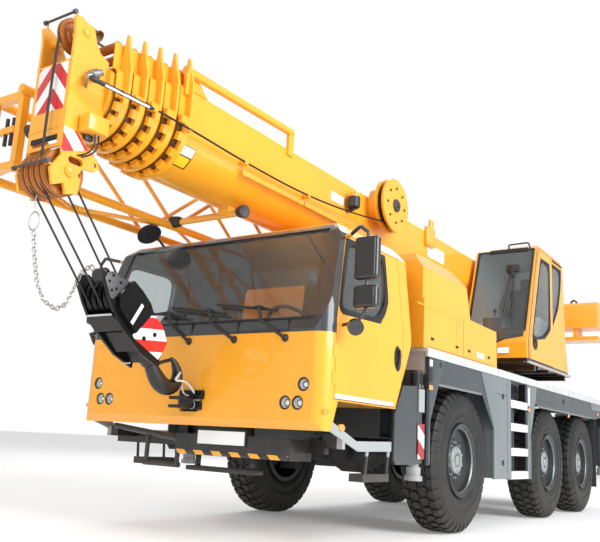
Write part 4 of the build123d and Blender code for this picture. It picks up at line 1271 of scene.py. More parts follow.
def add_seats():
    pan = [(2.7, 1.376), (3.225, 1.376), (3.235, 1.48), (3.215, 1.548), (2.7, 1.54)]
    back = [(2.69, 1.48), (2.868, 1.48), (2.845, 1.7), (2.765, 2.225), (2.612, 2.225), (2.64, 1.9)]
    head = [(2.64, 2.205), (2.74, 2.205), (2.725, 2.385), (2.64, 2.385)]
    for name, middle in (("driver", 0.62), ("mate", -0.62)):
        cushion(f"{name}_seat_cushion", "chassis", pan, middle - 0.27, middle + 0.27)
        cushion(f"{name}_back_cushion", "chassis", back, middle - 0.255, middle + 0.255)
        cushion(f"{name}_headrest", "chassis", head, middle - 0.13, middle + 0.13)
    pan = [(-2.3, 2.262), (-1.705, 2.262), (-1.7, 2.36), (-1.72, 2.43), (-2.3, 2.42)]
    back = [(-2.3, 2.38), (-2.125, 2.38), (-2.15, 2.7), (-2.2, 3.075), (-2.355, 3.075), (-2.33, 2.7)]
    head = [(-2.35, 3.055), (-2.245, 3.055), (-2.255, 3.23), (-2.35, 3.23)]
    cushion("operator_seat_cushion", "crane_cab_body", pan, 0.57, 1.09)
    cushion("operator_back_cushion", "crane_cab_body", back, 0.58, 1.08)
    cushion("operator_headrest", "crane_cab_body", head, 0.72, 0.94)


class CRANE_OT_seats(bpy.types.Operator):
    """Adds stuffed cushions and headrests over the plain seats of both cabs"""

    bl_idname = "crane.seats"
    bl_label = "Seats"

    def execute(self, context):
        add_seats()
        return {"FINISHED"}


# ---- side panels and deck -----------------------------------------------------------
def both(piece, body, finish, ease=0.0, angle=35):
    """Fits the left piece and its mirror image on the right."""
    other = mirrored(piece, f"{piece.name}_right")
    for made in (piece, other):
        fitted(made, body, finish, ease, angle=angle)


def add_side_fittings():
    skin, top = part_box("side_panels")[1].y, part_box("side_panels")[1].z
    sunk = skin - 0.003
    # post outlines in (x, z)
    posts = (
        ((1.995, top - 0.004), (1.66, top - 0.004), (1.955, 1.02), (1.957, 0.65), (1.995, 0.65)),
        ((0.705, top - 0.004), (0.27, top - 0.004), (0.27, 0.506), (0.326, 0.506), (0.326, 1.015)),
        ((-0.905, 1.18), (-0.905, 0.5), (-0.93, 0.5), (-0.93, 1.0), (-1.12, 1.4),
         (-1.18, top - 0.004), (-0.88, top - 0.004), (-0.88, 1.18)),
        ((-3.9, top - 0.004), (-3.93, 1.49), (-5.368, 1.505), (-5.368, top - 0.004)),
    )
    for number, outline in enumerate(posts, start=1):
        shade = "grey" if number == 1 else "light_slate"
        both(side_plate(f"side_post_{number}", outline, sunk, 0.009), "chassis", shade, ease=0.002)
    # strip name, low z, high z, thickness, finish, eased edge
    strips = (("lip", 1.35, 1.372, 0.007, "light_slate", 0.002), ("fold", 1.436, 1.445, 0.005, "grey", 0.001))
    for number, (x0, x1) in enumerate(((0.69, 1.8), (-3.9, -1.18)), start=1):
        for label, z0, z1, deep, finish, ease in strips:
            outline = [(x0, z0), (x0, z1), (x1, z1), (x1, z0)]
            both(side_plate(f"arch_{label}_{number}", outline, sunk, deep), "chassis", finish, ease=ease)
    seam = blocks(
        "locker_seams", ((0.262, sunk, 0.506), (0.267, skin + 0.001, top)),
        ((-0.108, sunk, 0.506), (-0.102, skin + 0.001, top)), ((-0.106, sunk, 1.4), (0.264, skin + 0.001, 1.405)),
    )
    both(seam, "chassis", "seal")
    knobs = []
    for x, z in ((0.037, 1.386), (0.045, 0.671), (1.74, 1.545), (-2.4, 1.5)):
        knobs.append(lathe("knob", [(-0.006, 0), (-0.006, 0.03), (0.006, 0.03), (0.009, 0.022), (0.009, 0)],
                           (x, skin, z), sides=16))
    both(joined("locker_knobs", knobs), "chassis", "black_plastic")
    tread_heights = (1.33, 1.07, 0.795, 0.54)
    treads = [
        block("tread_face", (-0.822, skin - 0.004, z - 0.044), (-0.236, skin + 0.004, z + 0.044))
        for z in tread_heights
    ]
    both(joined("ladder_treads", treads), "chassis", "white_panel", ease=0.004)
    grips = [
        block("grip", (x - 0.012, 1.1, z + 0.044), (x + 0.012, skin - 0.006, z + 0.052))
        for z in tread_heights for x in (-0.78, -0.68, -0.58, -0.48, -0.38, -0.28)
    ]
    both(joined("ladder_grips", grips), "chassis", "dark_steel")
    for name, (x0, z0), (x1, z1), out in (
        ("post_label", (-0.898, 1.345), (-0.842, 1.56), 0.009),
        ("front_label", (1.925, 1.512), (1.989, 1.572), 0.008),
    ):
        both(block(name, (x0, sunk, z0), (x1, skin + out, z1)), "chassis", "white_panel", ease=0.001)
    # middle of each marker lamp in (x, z)
    for number, (x, z) in enumerate(((1.952, 1.321), (-0.87, 1.296), (-2.626, 1.325), (-4.3, 1.44)), start=1):
        for name, y0, out, half_x, half_z, finish in (
            (f"marker_frame_{number}", sunk, 0.005, 0.048, 0.03, "black_plastic"),
            (f"marker_{number}", skin, 0.01, 0.038, 0.021, "amber"),
        ):
            piece = block(name, (x - half_x, y0, z - half_z), (x + half_x, skin + out, z + half_z))
            both(piece, "chassis", finish, ease=0.006)
    bottle = lathe(
        "post_bottle", [(-0.062, 0), (-0.062, 0.024), (-0.05, 0.03), (0.05, 0.03), (0.062, 0.024), (0.062, 0)],
        (1.958, skin + 0.002, 1.43), sides=20, axis=(0, 0, 1),
    )
    edit(bottle, lambda: bpy.ops.mesh.bisect(
        plane_co=(0, skin + 0.011, 0), plane_no=(0, 1, 0), use_fill=True, clear_outer=True))
    both(bottle, "chassis", "black_plastic")


class CRANE_OT_side_fittings(bpy.types.Operator):
    """Adds raised posts, ladder treads, knobs, marker lamps and blank labels"""

    bl_idname = "crane.side_fittings"
    bl_label = "Side panel fittings"

    def execute(self, context):
        add_side_fittings()
        return {"FINISHED"}


def add_outriggers():
    for end in ("front", "rear"):
        for side_name, side in SIDES:
            beam, leg = f"outrigger_beam_{end}_{side_name}", f"jack_leg_{end}_{side_name}"
            low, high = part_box(leg)
            x, y = (low.x + high.x) / 2, (low.y + high.y) / 2
            body = f"outrigger_{end}_{side_name}"
            reach = abs(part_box(beam)[1].y if side > 0 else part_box(beam)[0].y)
            board = block("board", (x - 0.062, reach - 0.004, 0.69), (x + 0.062, reach + 0.0045, 0.99))
            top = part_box(beam)[1].z
            cap = lathe("cap", [(-0.002, 0), (-0.002, 0.07), (0.012, 0.07), (0.022, 0.052), (0.022, 0)],
                        (x, abs(y), top - 0.018), sides=28, axis=(0, 0, 1))
            band = lathe("band", hoop(-0.085, 0.085, 0.064, 0.0675), (x, abs(y), 1.345), sides=28, axis=(0, 0, 1))
            collar = lathe("collar", hoop(-0.02, 0.02, 0.06, 0.072), (x, abs(y), 0.672), sides=28, axis=(0, 0, 1))
            bracket = blocks(
                "bracket",
                ((x - 0.056, reach - 0.012, 1.09), (x + 0.056, reach + 0.004, 1.29)),
                ((x - 0.034, reach - 0.06, 1.3), (x + 0.034, reach - 0.002, 1.33)),
            )
            plan = (
                (board, "reflector_board", "reflector"), (bracket, "jack_bracket", "light_grey"),
                (cap, "tube_cap", "black_plastic"), (band, "tube_band", "black_paint"),
                (collar, "tube_collar", "dark_steel"),
            )
            for piece, label, finish in plan:
                fitted(on_side(piece, side, f"{label}_{end}_{side_name}"), body, finish, angle=40)


class CRANE_OT_outriggers(bpy.types.Operator):
    """Adds reflector boards, brackets, bands and caps on the jack tubes"""

    bl_idname = "crane.outrigger_fittings"
    bl_label = "Outrigger fittings"

    def execute(self, context):
        add_outriggers()
        return {"FINISHED"}


def add_deck_fittings():
    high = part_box("deck")[1]
    stud = block("stud", (-5.335, 1.035, high.z - 0.002), (-5.3, 1.047, high.z + 0.0022))
    turned = copied(stud, "stud_across", Matrix.Translation((-5.3, 1.08, 0)) @ Matrix.Rotation(pi / 2, 4, "Z")
                    @ Matrix.Translation((5.318, -1.041, 0)))
    pair = joined("stud_pair", [stud, turned])
    shift_copies(pair, 120, (0.0608, 0, 0))
    shift_copies(pair, 3, (0, 0.075, 0))
    both(pair, "chassis", "aluminium")
    joints = []
    for x in (-4.55, -3.6, -2.65, -1.7, -0.75, 0.2, 1.15):
        joints.append(
            block("joint", (x, high.y - 0.01, high.z - 0.076), (x + 0.006, high.y + 0.0004, high.z - 0.002)),
        )
    both(joined("deck_edge_joints", joints), "chassis", "seal")
    x0, x1, foot, head = -5.2, -4.98, high.z - 0.01, high.z + 0.45
    rail = tube(
        "deck_rail",
        [(x0, 1.19, foot), (x0, 1.19, head - 0.03), (x0 + 0.03, 1.19, head), (x1 - 0.03, 1.19, head),
         (x1, 1.19, head - 0.03), (x1, 1.19, foot)],
        0.014, sides=2,
    )
    both(rail, "chassis", "black_paint")


class CRANE_OT_deck_fittings(bpy.types.Operator):
    """Adds tread studs, edge seams and handrails on the deck"""

    bl_idname = "crane.deck_fittings"
    bl_label = "Deck fittings"

    def execute(self, context):
        add_deck_fittings()
        return {"FINISHED"}


def add_undercarriage():
    centres = [x for _, x in AXLES]
    for number, (x0, x1) in enumerate(((centres[0], centres[1]), (centres[1], centres[2])), start=1):
        z = WHEEL_Z + 0.02
        shaft = bar("shaft", 0.048, (x0 - 0.42, 0, z + 0.05), (x1 + 0.42, 0, z + 0.05))
        cups = [bar("cup", 0.078, (x, 0, z + 0.05), (x - 0.07, 0, z + 0.05)) for x in (x0 - 0.36, x1 + 0.43)]
        fitted(joined(f"drive_shaft_{number}", [shaft, *cups]), "chassis", "cast", ease=0.004)
    for index, x in AXLES:
        ends = [(x - 0.24, y, WHEEL_Z - 0.02) for y in (-0.6, 0.6)]
        fit_tube("chassis", "dark_steel", f"track_rod_{index}", ends, 0.02)
    tank = lathe(
        "air_tank", [(-0.4, 0), (-0.4, 0.06), (-0.37, 0.125), (0.37, 0.125), (0.4, 0.06), (0.4, 0)],
        (-0.35, 0.6, 1.16), sides=32, axis=(1, 0, 0),
    )
    straps = [
        lathe("strap", hoop(-0.02, 0.02, 0.122, 0.131), (-0.35 + shift, 0.6, 1.16), sides=32, axis=(1, 0, 0))
        for shift in (-0.2, 0.2)
    ]
    both(joined("air_tank_strapped", [tank, *straps]), "chassis", "black_paint")
    both(block("mud_flap", (-4.245, 0.86, 0.34), (-4.232, 1.235, 1.34)), "chassis", "seal", ease=0.003)
    box_x = -5.494
    # each rear lamp from y0 to y1
    for number, (y0, y1, lens) in enumerate(
        ((1.1, 1.185, "amber"), (1.005, 1.092, "red_lens"), (0.915, 0.998, "red_lens"), (0.835, 0.908, "lamp")),
        start=1,
    ):
        piece = block(f"rear_lamp_{number}", (box_x - 0.012, y0, 1.125), (box_x + 0.01, y1, 1.275))
        both(piece, "chassis", lens, ease=0.008)
    both(block("rear_board", (-5.392, 0.3, 1.35), (-5.378, 1.21, 1.49)), "chassis", "rear_board", ease=0.002)
    fit_blocks("chassis", (
        ("rear_plate", (-5.462, -0.26, 0.93), (-5.452, 0.26, 1.04), "white_panel", 0.002),
        ("rear_plate_arm", (-5.452, -0.12, 0.96), (-5.37, 0.12, 1.1), "black_plastic", 0.004),
    ))


class CRANE_OT_undercarriage(bpy.types.Operator):
    """Adds drive shafts, track rods, air tanks, mud flaps, rear lamps and the rear boards"""

    bl_idname = "crane.undercarriage"
    bl_label = "Undercarriage"

    def execute(self, context):
        add_undercarriage()
        return {"FINISHED"}


def add_hood_fittings():
    side_y = 1.2405
    seams = [
        block("seam", (1.128, side_y - 0.004, 1.7), (1.133, side_y + 0.0006, 2.09)),
        block("seam", (0.262, side_y - 0.004, 1.69), (1.96, side_y + 0.0006, 1.695)),
    ]
    both(joined("hood_seams", seams), "chassis", "seal")
    latches = []
    for x in (0.42, 0.98, 1.3, 1.88):
        latches.append(block("latch", (x - 0.03, side_y - 0.006, 1.76), (x + 0.03, side_y + 0.008, 1.785)))
    both(joined("hood_latches", latches), "chassis", "black_plastic", ease=0.003)
    label = block("hood_label", (0.56, side_y - 0.004, 1.735), (0.76, side_y + 0.0012, 1.79))
    both(label, "chassis", "white_panel")
    louvres = []
    for step in range(6):
        x, z = 0.0138 * step, 2.157 + 0.044 * step
        louvres.append(side_plate(
            "louvre", [(0.9 + x, z + 0.024), (0.88 + x, z + 0.018), (0.912 + x, z - 0.004)], -0.89, 1.78,
        ))
    fitted(joined("hood_louvres", louvres), "chassis", "yellow")
    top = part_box("engine_hood")[1].z
    grille = block("grille_frame", (1.2, -0.55, top - 0.006), (1.86, 0.55, top + 0.01))
    fitted(grille, "chassis", "black_plastic", ease=0.006)
    slats = block("slat", (1.225, -0.53, top + 0.008), (1.245, 0.53, top + 0.018))
    shift_copies(slats, 16, (0.0395, 0, 0))
    slats.name = "grille_slats"
    fitted(slats, "chassis", "dark_steel")
    fit_lathe(
        "chassis", "dark_steel", "exhaust",
        [
            (-0.3, 0), (-0.3, 0.085), (-0.26, 0.1), (0.12, 0.1), (0.15, 0.085), (0.17, 0.058),
            (0.235, 0.058), (0.235, 0.046), (0.17, 0.046), (0.17, 0),
        ],
        (0.62, -0.92, 2.36), sides=32, axis=(0, 0, 1),
    )


class CRANE_OT_hood_fittings(bpy.types.Operator):
    """Adds louvres, grille, panel seams, latches, exhaust and blank label of the hood"""

    bl_idname = "crane.hood_fittings"
    bl_label = "Engine hood fittings"

    def execute(self, context):
        add_hood_fittings()
        return {"FINISHED"}


def add_hood_ledge():
    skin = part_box("engine_hood")[1].y
    ledge = blocks(
        "hood_ledge",
        ((1.3, skin - 0.004, 2.052), (2.215, skin + 0.0045, 2.066)),
        ((1.29, skin - 0.004, 1.706), (1.304, skin + 0.0045, 2.066)),
    )
    both(ledge, "chassis", "yellow", ease=0.003)


class CRANE_OT_hood_ledge(bpy.types.Operator):
    """Adds the pressed ledge along the hood's sides"""

    bl_idname = "crane.hood_ledge"
    bl_label = "Hood ledge"

    def execute(self, context):
        add_hood_ledge()
        return {"FINISHED"}


# ---- superstructure -----------------------------------------------------------------
def add_crane_cab():
    body = "crane_cab_body"
    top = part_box("crane_cab")[1].z
    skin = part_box("crane_cab_door")[1].y

    def pane_x(z, lift=0.0):
        low_x, low_z, high_x, high_z = -0.89, 2.12, -1.372, 3.44
        return low_x + (high_x - low_x) * (z - low_z) / (high_z - low_z) + lift

    for number, (y_low, z_low, y_high, z_high) in enumerate(
        ((0.862, 2.56, 0.952, 3.17), (0.905, 2.54, 0.966, 3.17)), start=1
    ):
        low, high = (pane_x(z_low, 0.026), y_low, z_low), (pane_x(z_high, 0.026), y_high, z_high)
        fit_tube(body, "black_plastic", f"crane_wiper_{number}", [low, high], 0.008, sides=2)
    motor = block("wiper_motor", (pane_x(3.16, -0.01), 0.875, 3.1), (pane_x(3.16, 0.06), 1.035, 3.2))
    hinge = block("wiper_link", (pane_x(3.06, -0.01), 0.928, 3.02), (pane_x(3.06, 0.04), 0.982, 3.12))
    fitted(joined("crane_wiper_motor", [motor, hinge]), body, "black_plastic", ease=0.014)
    fit_tube(
        body, "black_plastic", "crane_blade",
        [(pane_x(2.45, 0.018), 0.985, 2.45), (pane_x(2.98, 0.018), 0.985, 2.98)], 0.009, sides=2,
    )
    fitted(
        side_plate("crane_visor", [(-1.372, 3.395), (-1.352, 3.405), (-1.385, 3.462), (-1.4, 3.452)], 0.6, 0.52),
        body, "black_plastic", ease=0.004,
    )
    fit_tube(
        body, "black_plastic", "visor_hoop",
        [
            (-1.395, 0.85, top - 0.055), (-1.372, 0.862, top + 0.015), (-1.368, 0.88, top + 0.022),
            (-1.368, 1.105, top + 0.028), (-1.372, 1.13, top + 0.02), (-1.4, 1.14, top - 0.05),
        ],
        0.011, sides=2,
    )
    rails = []
    for y in (1.205, 0.455):
        rails.append(tube(
            "roof_rail",
            [(-1.46, y, top - 0.045), (-1.47, y, top - 0.004), (-2.53, y, top - 0.01), (-2.555, y, top - 0.06)],
            0.012, sides=2,
        ))
    fitted(joined("crane_roof_rails", rails), body, "yellow")
    fitted(block("door_track", (-2.5, 1.2365, 3.405), (-1.42, 1.248, 3.425)), body, "seal", ease=0.002)
    pan = lathe(
        "pan", [(-0.004, 0), (-0.004, 1.0), (0.004, 0.96), (0.005, 0.8), (0.001, 0.74), (0.001, 0)], (0, 0, 0),
        sides=30,
    )
    shape = Matrix.Translation((-1.135, skin, 2.145)) @ Matrix.Diagonal((0.105, 1.0, 0.094, 1.0))
    placed = moved(pan, "crane_door_handle", shape)
    pull = tube("pull", [(-1.13, skin + 0.002, 2.19), (-1.12, skin + 0.016, 2.17), (-1.09, skin + 0.016, 2.12),
                         (-1.08, skin + 0.002, 2.1)], 0.01, bend=1)
    fitted(joined("crane_door_handle", [placed, pull]), "crane_cab_sliding_door", "black_plastic")
    # seal name, body, window outline, skin of the panel it sits on
    for name, rider, outline, face in (
        ("crane_door_seal", "crane_cab_sliding_door", CRANE_DOOR_WINDOW, skin - 0.002),
        ("crane_rear_seal", body, CRANE_REAR_WINDOW, 1.2335),
    ):
        rim = side_plate(name, rounded(swollen(outline, 0.016), 0.12), face, 0.0045)
        hole = side_plate("hole", rounded(swollen(outline, -0.016), 0.12), face - 0.02, 0.04)
        fitted(cut(rim, hole), rider, "seal", ease=0.0012)
    fit_blocks(body, (
        ("crane_cab_seam", (-1.906, 1.228, 1.985), (-1.897, 1.2375, 3.41), "seal", 0.001),
        ("step_lamp", (-0.902, 0.87, 1.99), (-0.872, 1.01, 2.06), "lamp", 0.01),
        ("label_tray", (-0.905, 0.86, 1.98), (-0.884, 1.02, 2.07), "light_grey", 0.006),
    ))
    lip = block("platform_lip", (-0.9, 0.43, 1.866), (-0.893, 1.268, 1.892))
    fitted(lip, "superstructure", "light_grey", ease=0.002)
    edge = plate(
        "platform_edge",
        [(-2.74, 1.269, 1.866), (-0.898, 1.269, 1.866), (-0.898, 1.269, 1.893), (-2.74, 1.269, 1.893)], (0, 0.004, 0),
    )
    fitted(edge, "superstructure", "light_grey")
    step = []
    for x in (-2.3, -1.85, -1.4):
        step.append(block("strut", (x - 0.012, 0.42, 1.84), (x + 0.012, 1.22, 1.864)))
    fitted(joined("platform_struts", step), "superstructure", "black_paint")
    lever_box = []
    for y in (0.545, 1.115):
        stick = tube("stick", [(-1.72, y, 2.555), (-1.7, y, 2.66)], 0.01, sides=2)
        ball = lathe("ball", [(-0.03, 0), (-0.022, 0.02), (0, 0.028), (0.022, 0.02), (0.03, 0)],
                     (-1.698, y, 2.68), sides=16, axis=(0, 0, 1))
        lever_box += [stick, ball]
    fitted(joined("crane_levers", lever_box), body, "black_plastic")
    screen = block("crane_monitor", (-1.24, 0.56, 2.32), (-1.205, 0.8, 2.5))
    arm = tube("monitor_arm", [(-1.22, 0.66, 2.33), (-1.25, 0.6, 2.1), (-1.28, 0.56, 1.97)], 0.014, sides=2)
    fitted(joined("crane_monitor", [screen, arm]), body, "black_plastic", ease=0.006)


class CRANE_OT_crane_cab(bpy.types.Operator):
    """Adds wiper, visor, rails, seals, handle, step lamp, levers and screen of the crane cab"""

    bl_idname = "crane.crane_cab_fittings"
    bl_label = "Crane cab fittings"

    def execute(self, context):
        add_crane_cab()
        return {"FINISHED"}


def add_superstructure():
    low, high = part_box("winch_drum")
    x, z = (low.x + high.x) / 2, (low.z + high.z) / 2
    profile = [(-0.2235, 0.15)]
    turns = 22
    pitch = 0.447 / turns
    for turn in range(turns):
        start = -0.2235 + pitch * turn
        profile += [(start, 0.186), (start + pitch * 0.25, 0.1945), (start + pitch * 0.5, 0.197),
                    (start + pitch * 0.75, 0.1945)]
    profile += [(0.2235, 0.186), (0.2235, 0.15)]
    fit_lathe("winch", "rope", "wound_rope", profile, (x, 0, z), sides=56, angle=50)
    motor = lathe(
        "winch_motor",
        [(0, 0), (0, 0.15), (0.04, 0.15), (0.048, 0.118), (0.12, 0.118), (0.13, 0.085),
         (0.215, 0.085), (0.225, 0.07), (0.225, 0)],
        (x, 0.399, z), sides=36,
    )
    bolts = turned_copies(
        lathe("bolt", disc(0.036, 0.052, 0.011), (x, 0.399, z + 0.134), sides=6), 14, (x, 0.399, z), (0, 1, 0)
    )
    fitted(joined("winch_motor", [motor, bolts]), "superstructure", "black_paint", angle=40)
    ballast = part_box("counterweight")
    top, back = ballast[1].z, ballast[0].x
    eyes = []
    for y in (-0.85, 0.85):
        ring = lathe("eye", [(-0.014, 0.03), (-0.014, 0.058), (0.014, 0.058), (0.014, 0.03), (-0.014, 0.03)],
                     (-4.69, y, top + 0.03), sides=24, axis=(1, 0, 0))
        eyes.append(ring)
    fitted(joined("lifting_eyes", eyes), "superstructure", "dark_steel")
    bolt = lathe("bolt", disc(-0.004, 0.016, 0.026), (back, -0.9, 3.18), sides=6, axis=(-1, 0, 0))
    shift_copies(bolt, 5, (0, 0.45, 0))
    shift_copies(bolt, 2, (0, 0, -0.24))
    bolt.name = "ballast_bolts"
    fitted(bolt, "superstructure", "dark_steel")
    for y0, label in ((0.7, "left"), (-1.2, "right")):
        band = block(f"ballast_board_{label}", (back - 0.002, y0, 2.9), (back + 0.004, y0 + 0.5, 3.12))
        fitted(band, "superstructure", "rear_board", ease=0.001)
    along = Vector((3.3, 0, 0.57)).normalized()
    up = Vector((-along.z, 0, along.x))
    start = Vector((-2.7, 0, 2.03)) + along * 0.34 + up * 0.155
    lines = []
    for y in (-0.045, 0.045):
        shift = Vector((0, y, 0))
        lines.append(tube("line", [start + shift - up * 0.02, start + shift, start + along * 2.4 + shift,
                                   start + along * 2.44 + shift - up * 0.018], 0.013, sides=2))
    for step in (0.5, 1.2, 1.9):
        clamp = block("clamp", (-0.02, -0.075, -0.022), (0.02, 0.075, 0.022))
        turn = Matrix.Translation(start + along * step) @ Matrix.Rotation(-atan2(along.z, along.x), 4, "Y")
        lines.append(moved(clamp, "clamp_placed", turn))
    fitted(joined("cylinder_lines", lines), "luffing_barrel_body", "dark_steel")


class CRANE_OT_superstructure(bpy.types.Operator):
    """Adds wound rope, winch motor, lifting eyes, ballast bolts and boards, and cylinder lines"""

    bl_idname = "crane.superstructure_fittings"
    bl_label = "Superstructure fittings"

    def execute(self, context):
        add_superstructure()
        return {"FINISHED"}


# ---- boom ---------------------------------------------------------------------------
def add_boom_fittings():
    hub = Vector((1.4, 0.58, 3.29))
    reel = []
    for y in (0.4925, 0.5575):
        reel.append(lathe("spool_rib", hoop(-0.006, 0.006, 0.262, 0.286), (hub.x, y, hub.z), sides=48))
    fitted(joined("reel_ribs", reel), "boom", "yellow")
    coil_profile = [(-0.03, 0.118)]
    for turn in range(4):
        start = -0.03 + turn * 0.015
        coil_profile += [(start, 0.236), (start + 0.0075, 0.244)]
    coil_profile += [(0.03, 0.236), (0.03, 0.118)]
    fit_lathe("boom", "black_plastic", "reel_cable", coil_profile, (hub.x, 0.525, hub.z), sides=48, angle=50)
    fit_lathe(
        "boom", "dark_steel", "reel_cap",
        [(-0.01, 0), (-0.01, 0.075), (0.018, 0.066), (0.026, 0.03), (0.04, 0.028), (0.042, 0)], hub, sides=28,
    )
    fitted(
        turned_copies(
            lathe("bolt", disc(-0.002, 0.012, 0.014), hub + Vector((0, 0, 0.19)), sides=6), 8, hub, (0, 1, 0)
        ),
        "boom", "dark_steel",
    )
    fit_tube(
        "boom", "rope", "hoist_rope",
        [(-2.9, 0.005, 3.48), (-2.7, 0.008, ROPE_Z), (BOOM_FRONT + 0.06, 0.03, ROPE_Z)], ROPE_RADIUS, sides=2,
    )
    for index in range(1, 6):
        body = f"telescope_{index}" if index < 5 else "boom_head"
        x0 = BOOM_FRONT + COLLAR_STEP * (index - 1) + 0.065
        x1 = BOOM_FRONT + COLLAR_STEP * index + 0.06
        fit_tube(
            body, "rope", f"hoist_rope_{index}", [(x0, 0.032, ROPE_Z), (x1, 0.036, ROPE_Z)], ROPE_RADIUS, sides=2
        )
    for index in range(5):
        body = f"telescope_{index}" if index else "boom"
        x = BOOM_FRONT + COLLAR_STEP * index - 0.032
        half = BELLY_RADIUS - BELLY_STEP * index - 0.056
        fit_lathe(
            body, "red_brown", f"rope_roller_{index}",
            [(-half, 0.029), (-half, 0.04), (-half + 0.02, 0.034), (half - 0.02, 0.034), (half, 0.04), (half, 0.029)],
            (x, 0, 3.472), sides=24,
        )
    fit_tube(
        "boom", "rope_dark", "length_cable",
        [
            (4.8, 0.448, 3.006), (4.44, 0.415, 3.02), (3.73, 0.392, 3.0), (2.796, 0.392, 2.994),
            (1.9, 0.47, 3.04), (1.52, 0.525, 3.085),
        ],
        0.0085, bend=1, angle=60,
    )
    guides = []
    for x, y, z in ((4.44, 0.41, 3.02), (3.73, 0.392, 3.002), (2.796, 0.396, 2.998)):
        guides.append(block("guide", (x - 0.022, 0.346, z - 0.02), (x + 0.022, y + 0.014, z + 0.02)))
    fitted(joined("cable_guides", guides), "boom", "yellow", ease=0.006)
    channel = blocks(
        "side_channel", ((2.81, 0.346, 2.905), (3.72, 0.362, 2.95)), ((1.96, 0.346, 2.905), (2.795, 0.362, 2.95)),
        ((3.3, 0.348, 2.9), (3.33, 0.368, 2.955)), ((2.35, 0.348, 2.9), (2.38, 0.368, 2.955)),
    )
    fitted(channel, "boom", "yellow", ease=0.004)
    can = lathe(
        "side_lamp", [(-0.075, 0), (-0.075, 0.044), (-0.06, 0.062), (0.03, 0.066), (0.046, 0.06), (0.046, 0)],
        (2.03, 0.43, 3.17), sides=28, axis=(0, 0, 1),
    )
    stem = tube("stem", [(2.03, 0.35, 3.08), (2.03, 0.43, 3.085), (2.03, 0.43, 3.12)], 0.018)
    fitted(joined("side_lamp", [can, stem]), "boom", "black_plastic", angle=40)
    fit_lathe(
        "boom", "amber", "side_lamp_dome", [(0.046, 0), (0.046, 0.05), (0.08, 0.05), (0.1, 0.034), (0.104, 0)],
        (2.03, 0.43, 3.17), sides=28, axis=(0, 0, 1), angle=50,
    )
    stand = blocks("boom_stand", ((-0.03, 0.346, 3.18), (0.2, 0.4, 3.42)), ((0.0, 0.35, 3.4), (0.09, 0.392, 3.53)))
    fitted(stand, "boom", "yellow", ease=0.016, segments=3)
    arm = tube("lamp_arm", [(3.48, -0.56, 2.672), (3.48, 0.17, 2.672)], 0.03, sides=4)
    hold = block("arm_hold", (3.44, -0.06, 2.66), (3.52, 0.06, 2.748))
    fitted(joined("lamp_arm", [arm, hold]), "boom", "yellow", ease=0.0)
    for number, (y, way) in enumerate(((-0.545, -1), (0.16, 1)), start=1):
        fit_lathe(
            "boom", "black_plastic", f"boom_work_lamp_{number}",
            [(-0.03, 0), (-0.03, 0.034), (0, 0.048), (0.07, 0.056), (0.078, 0.05), (0.078, 0.044), (0.06, 0)],
            (3.48, y, 2.678), sides=28, axis=(0.35, way, -0.1),
        )
    fitted(block("pad_rail", (5.135, -0.985, 2.935), (5.168, -0.7, 2.99)), "boom", "yellow", ease=0.006)
    pads = []
    for y, z0, z1 in ((-0.802, 2.965, 3.062), (-0.722, 2.965, 3.056), (-0.806, 2.842, 2.95), (-0.734, 2.836, 2.95)):
        pads.append(bar("pad", 0.015, (5.152, y, z0), (5.152, y, z1)))
    fitted(joined("jib_pads", pads), "boom", "black_plastic", ease=0.003)
    skin = 0.3505
    for name, (x0, z0), (x1, z1) in (
        ("boom_label_1", (2.1, 3.11), (2.34, 3.2)), ("boom_label_2", (-0.4, 3.06), (0.1, 3.22))
    ):
        both(block(name, (x0, skin - 0.003, z0), (x1, skin + 0.0015, z1)), "boom", "white_panel")


class CRANE_OT_boom_fittings(bpy.types.Operator):
    """Adds hoist rope, guide rollers, cable reel, side channel, lamps and labels on the boom"""

    bl_idname = "crane.boom_fittings"
    bl_label = "Boom fittings"

    def execute(self, context):
        add_boom_fittings()
        return {"FINISHED"}


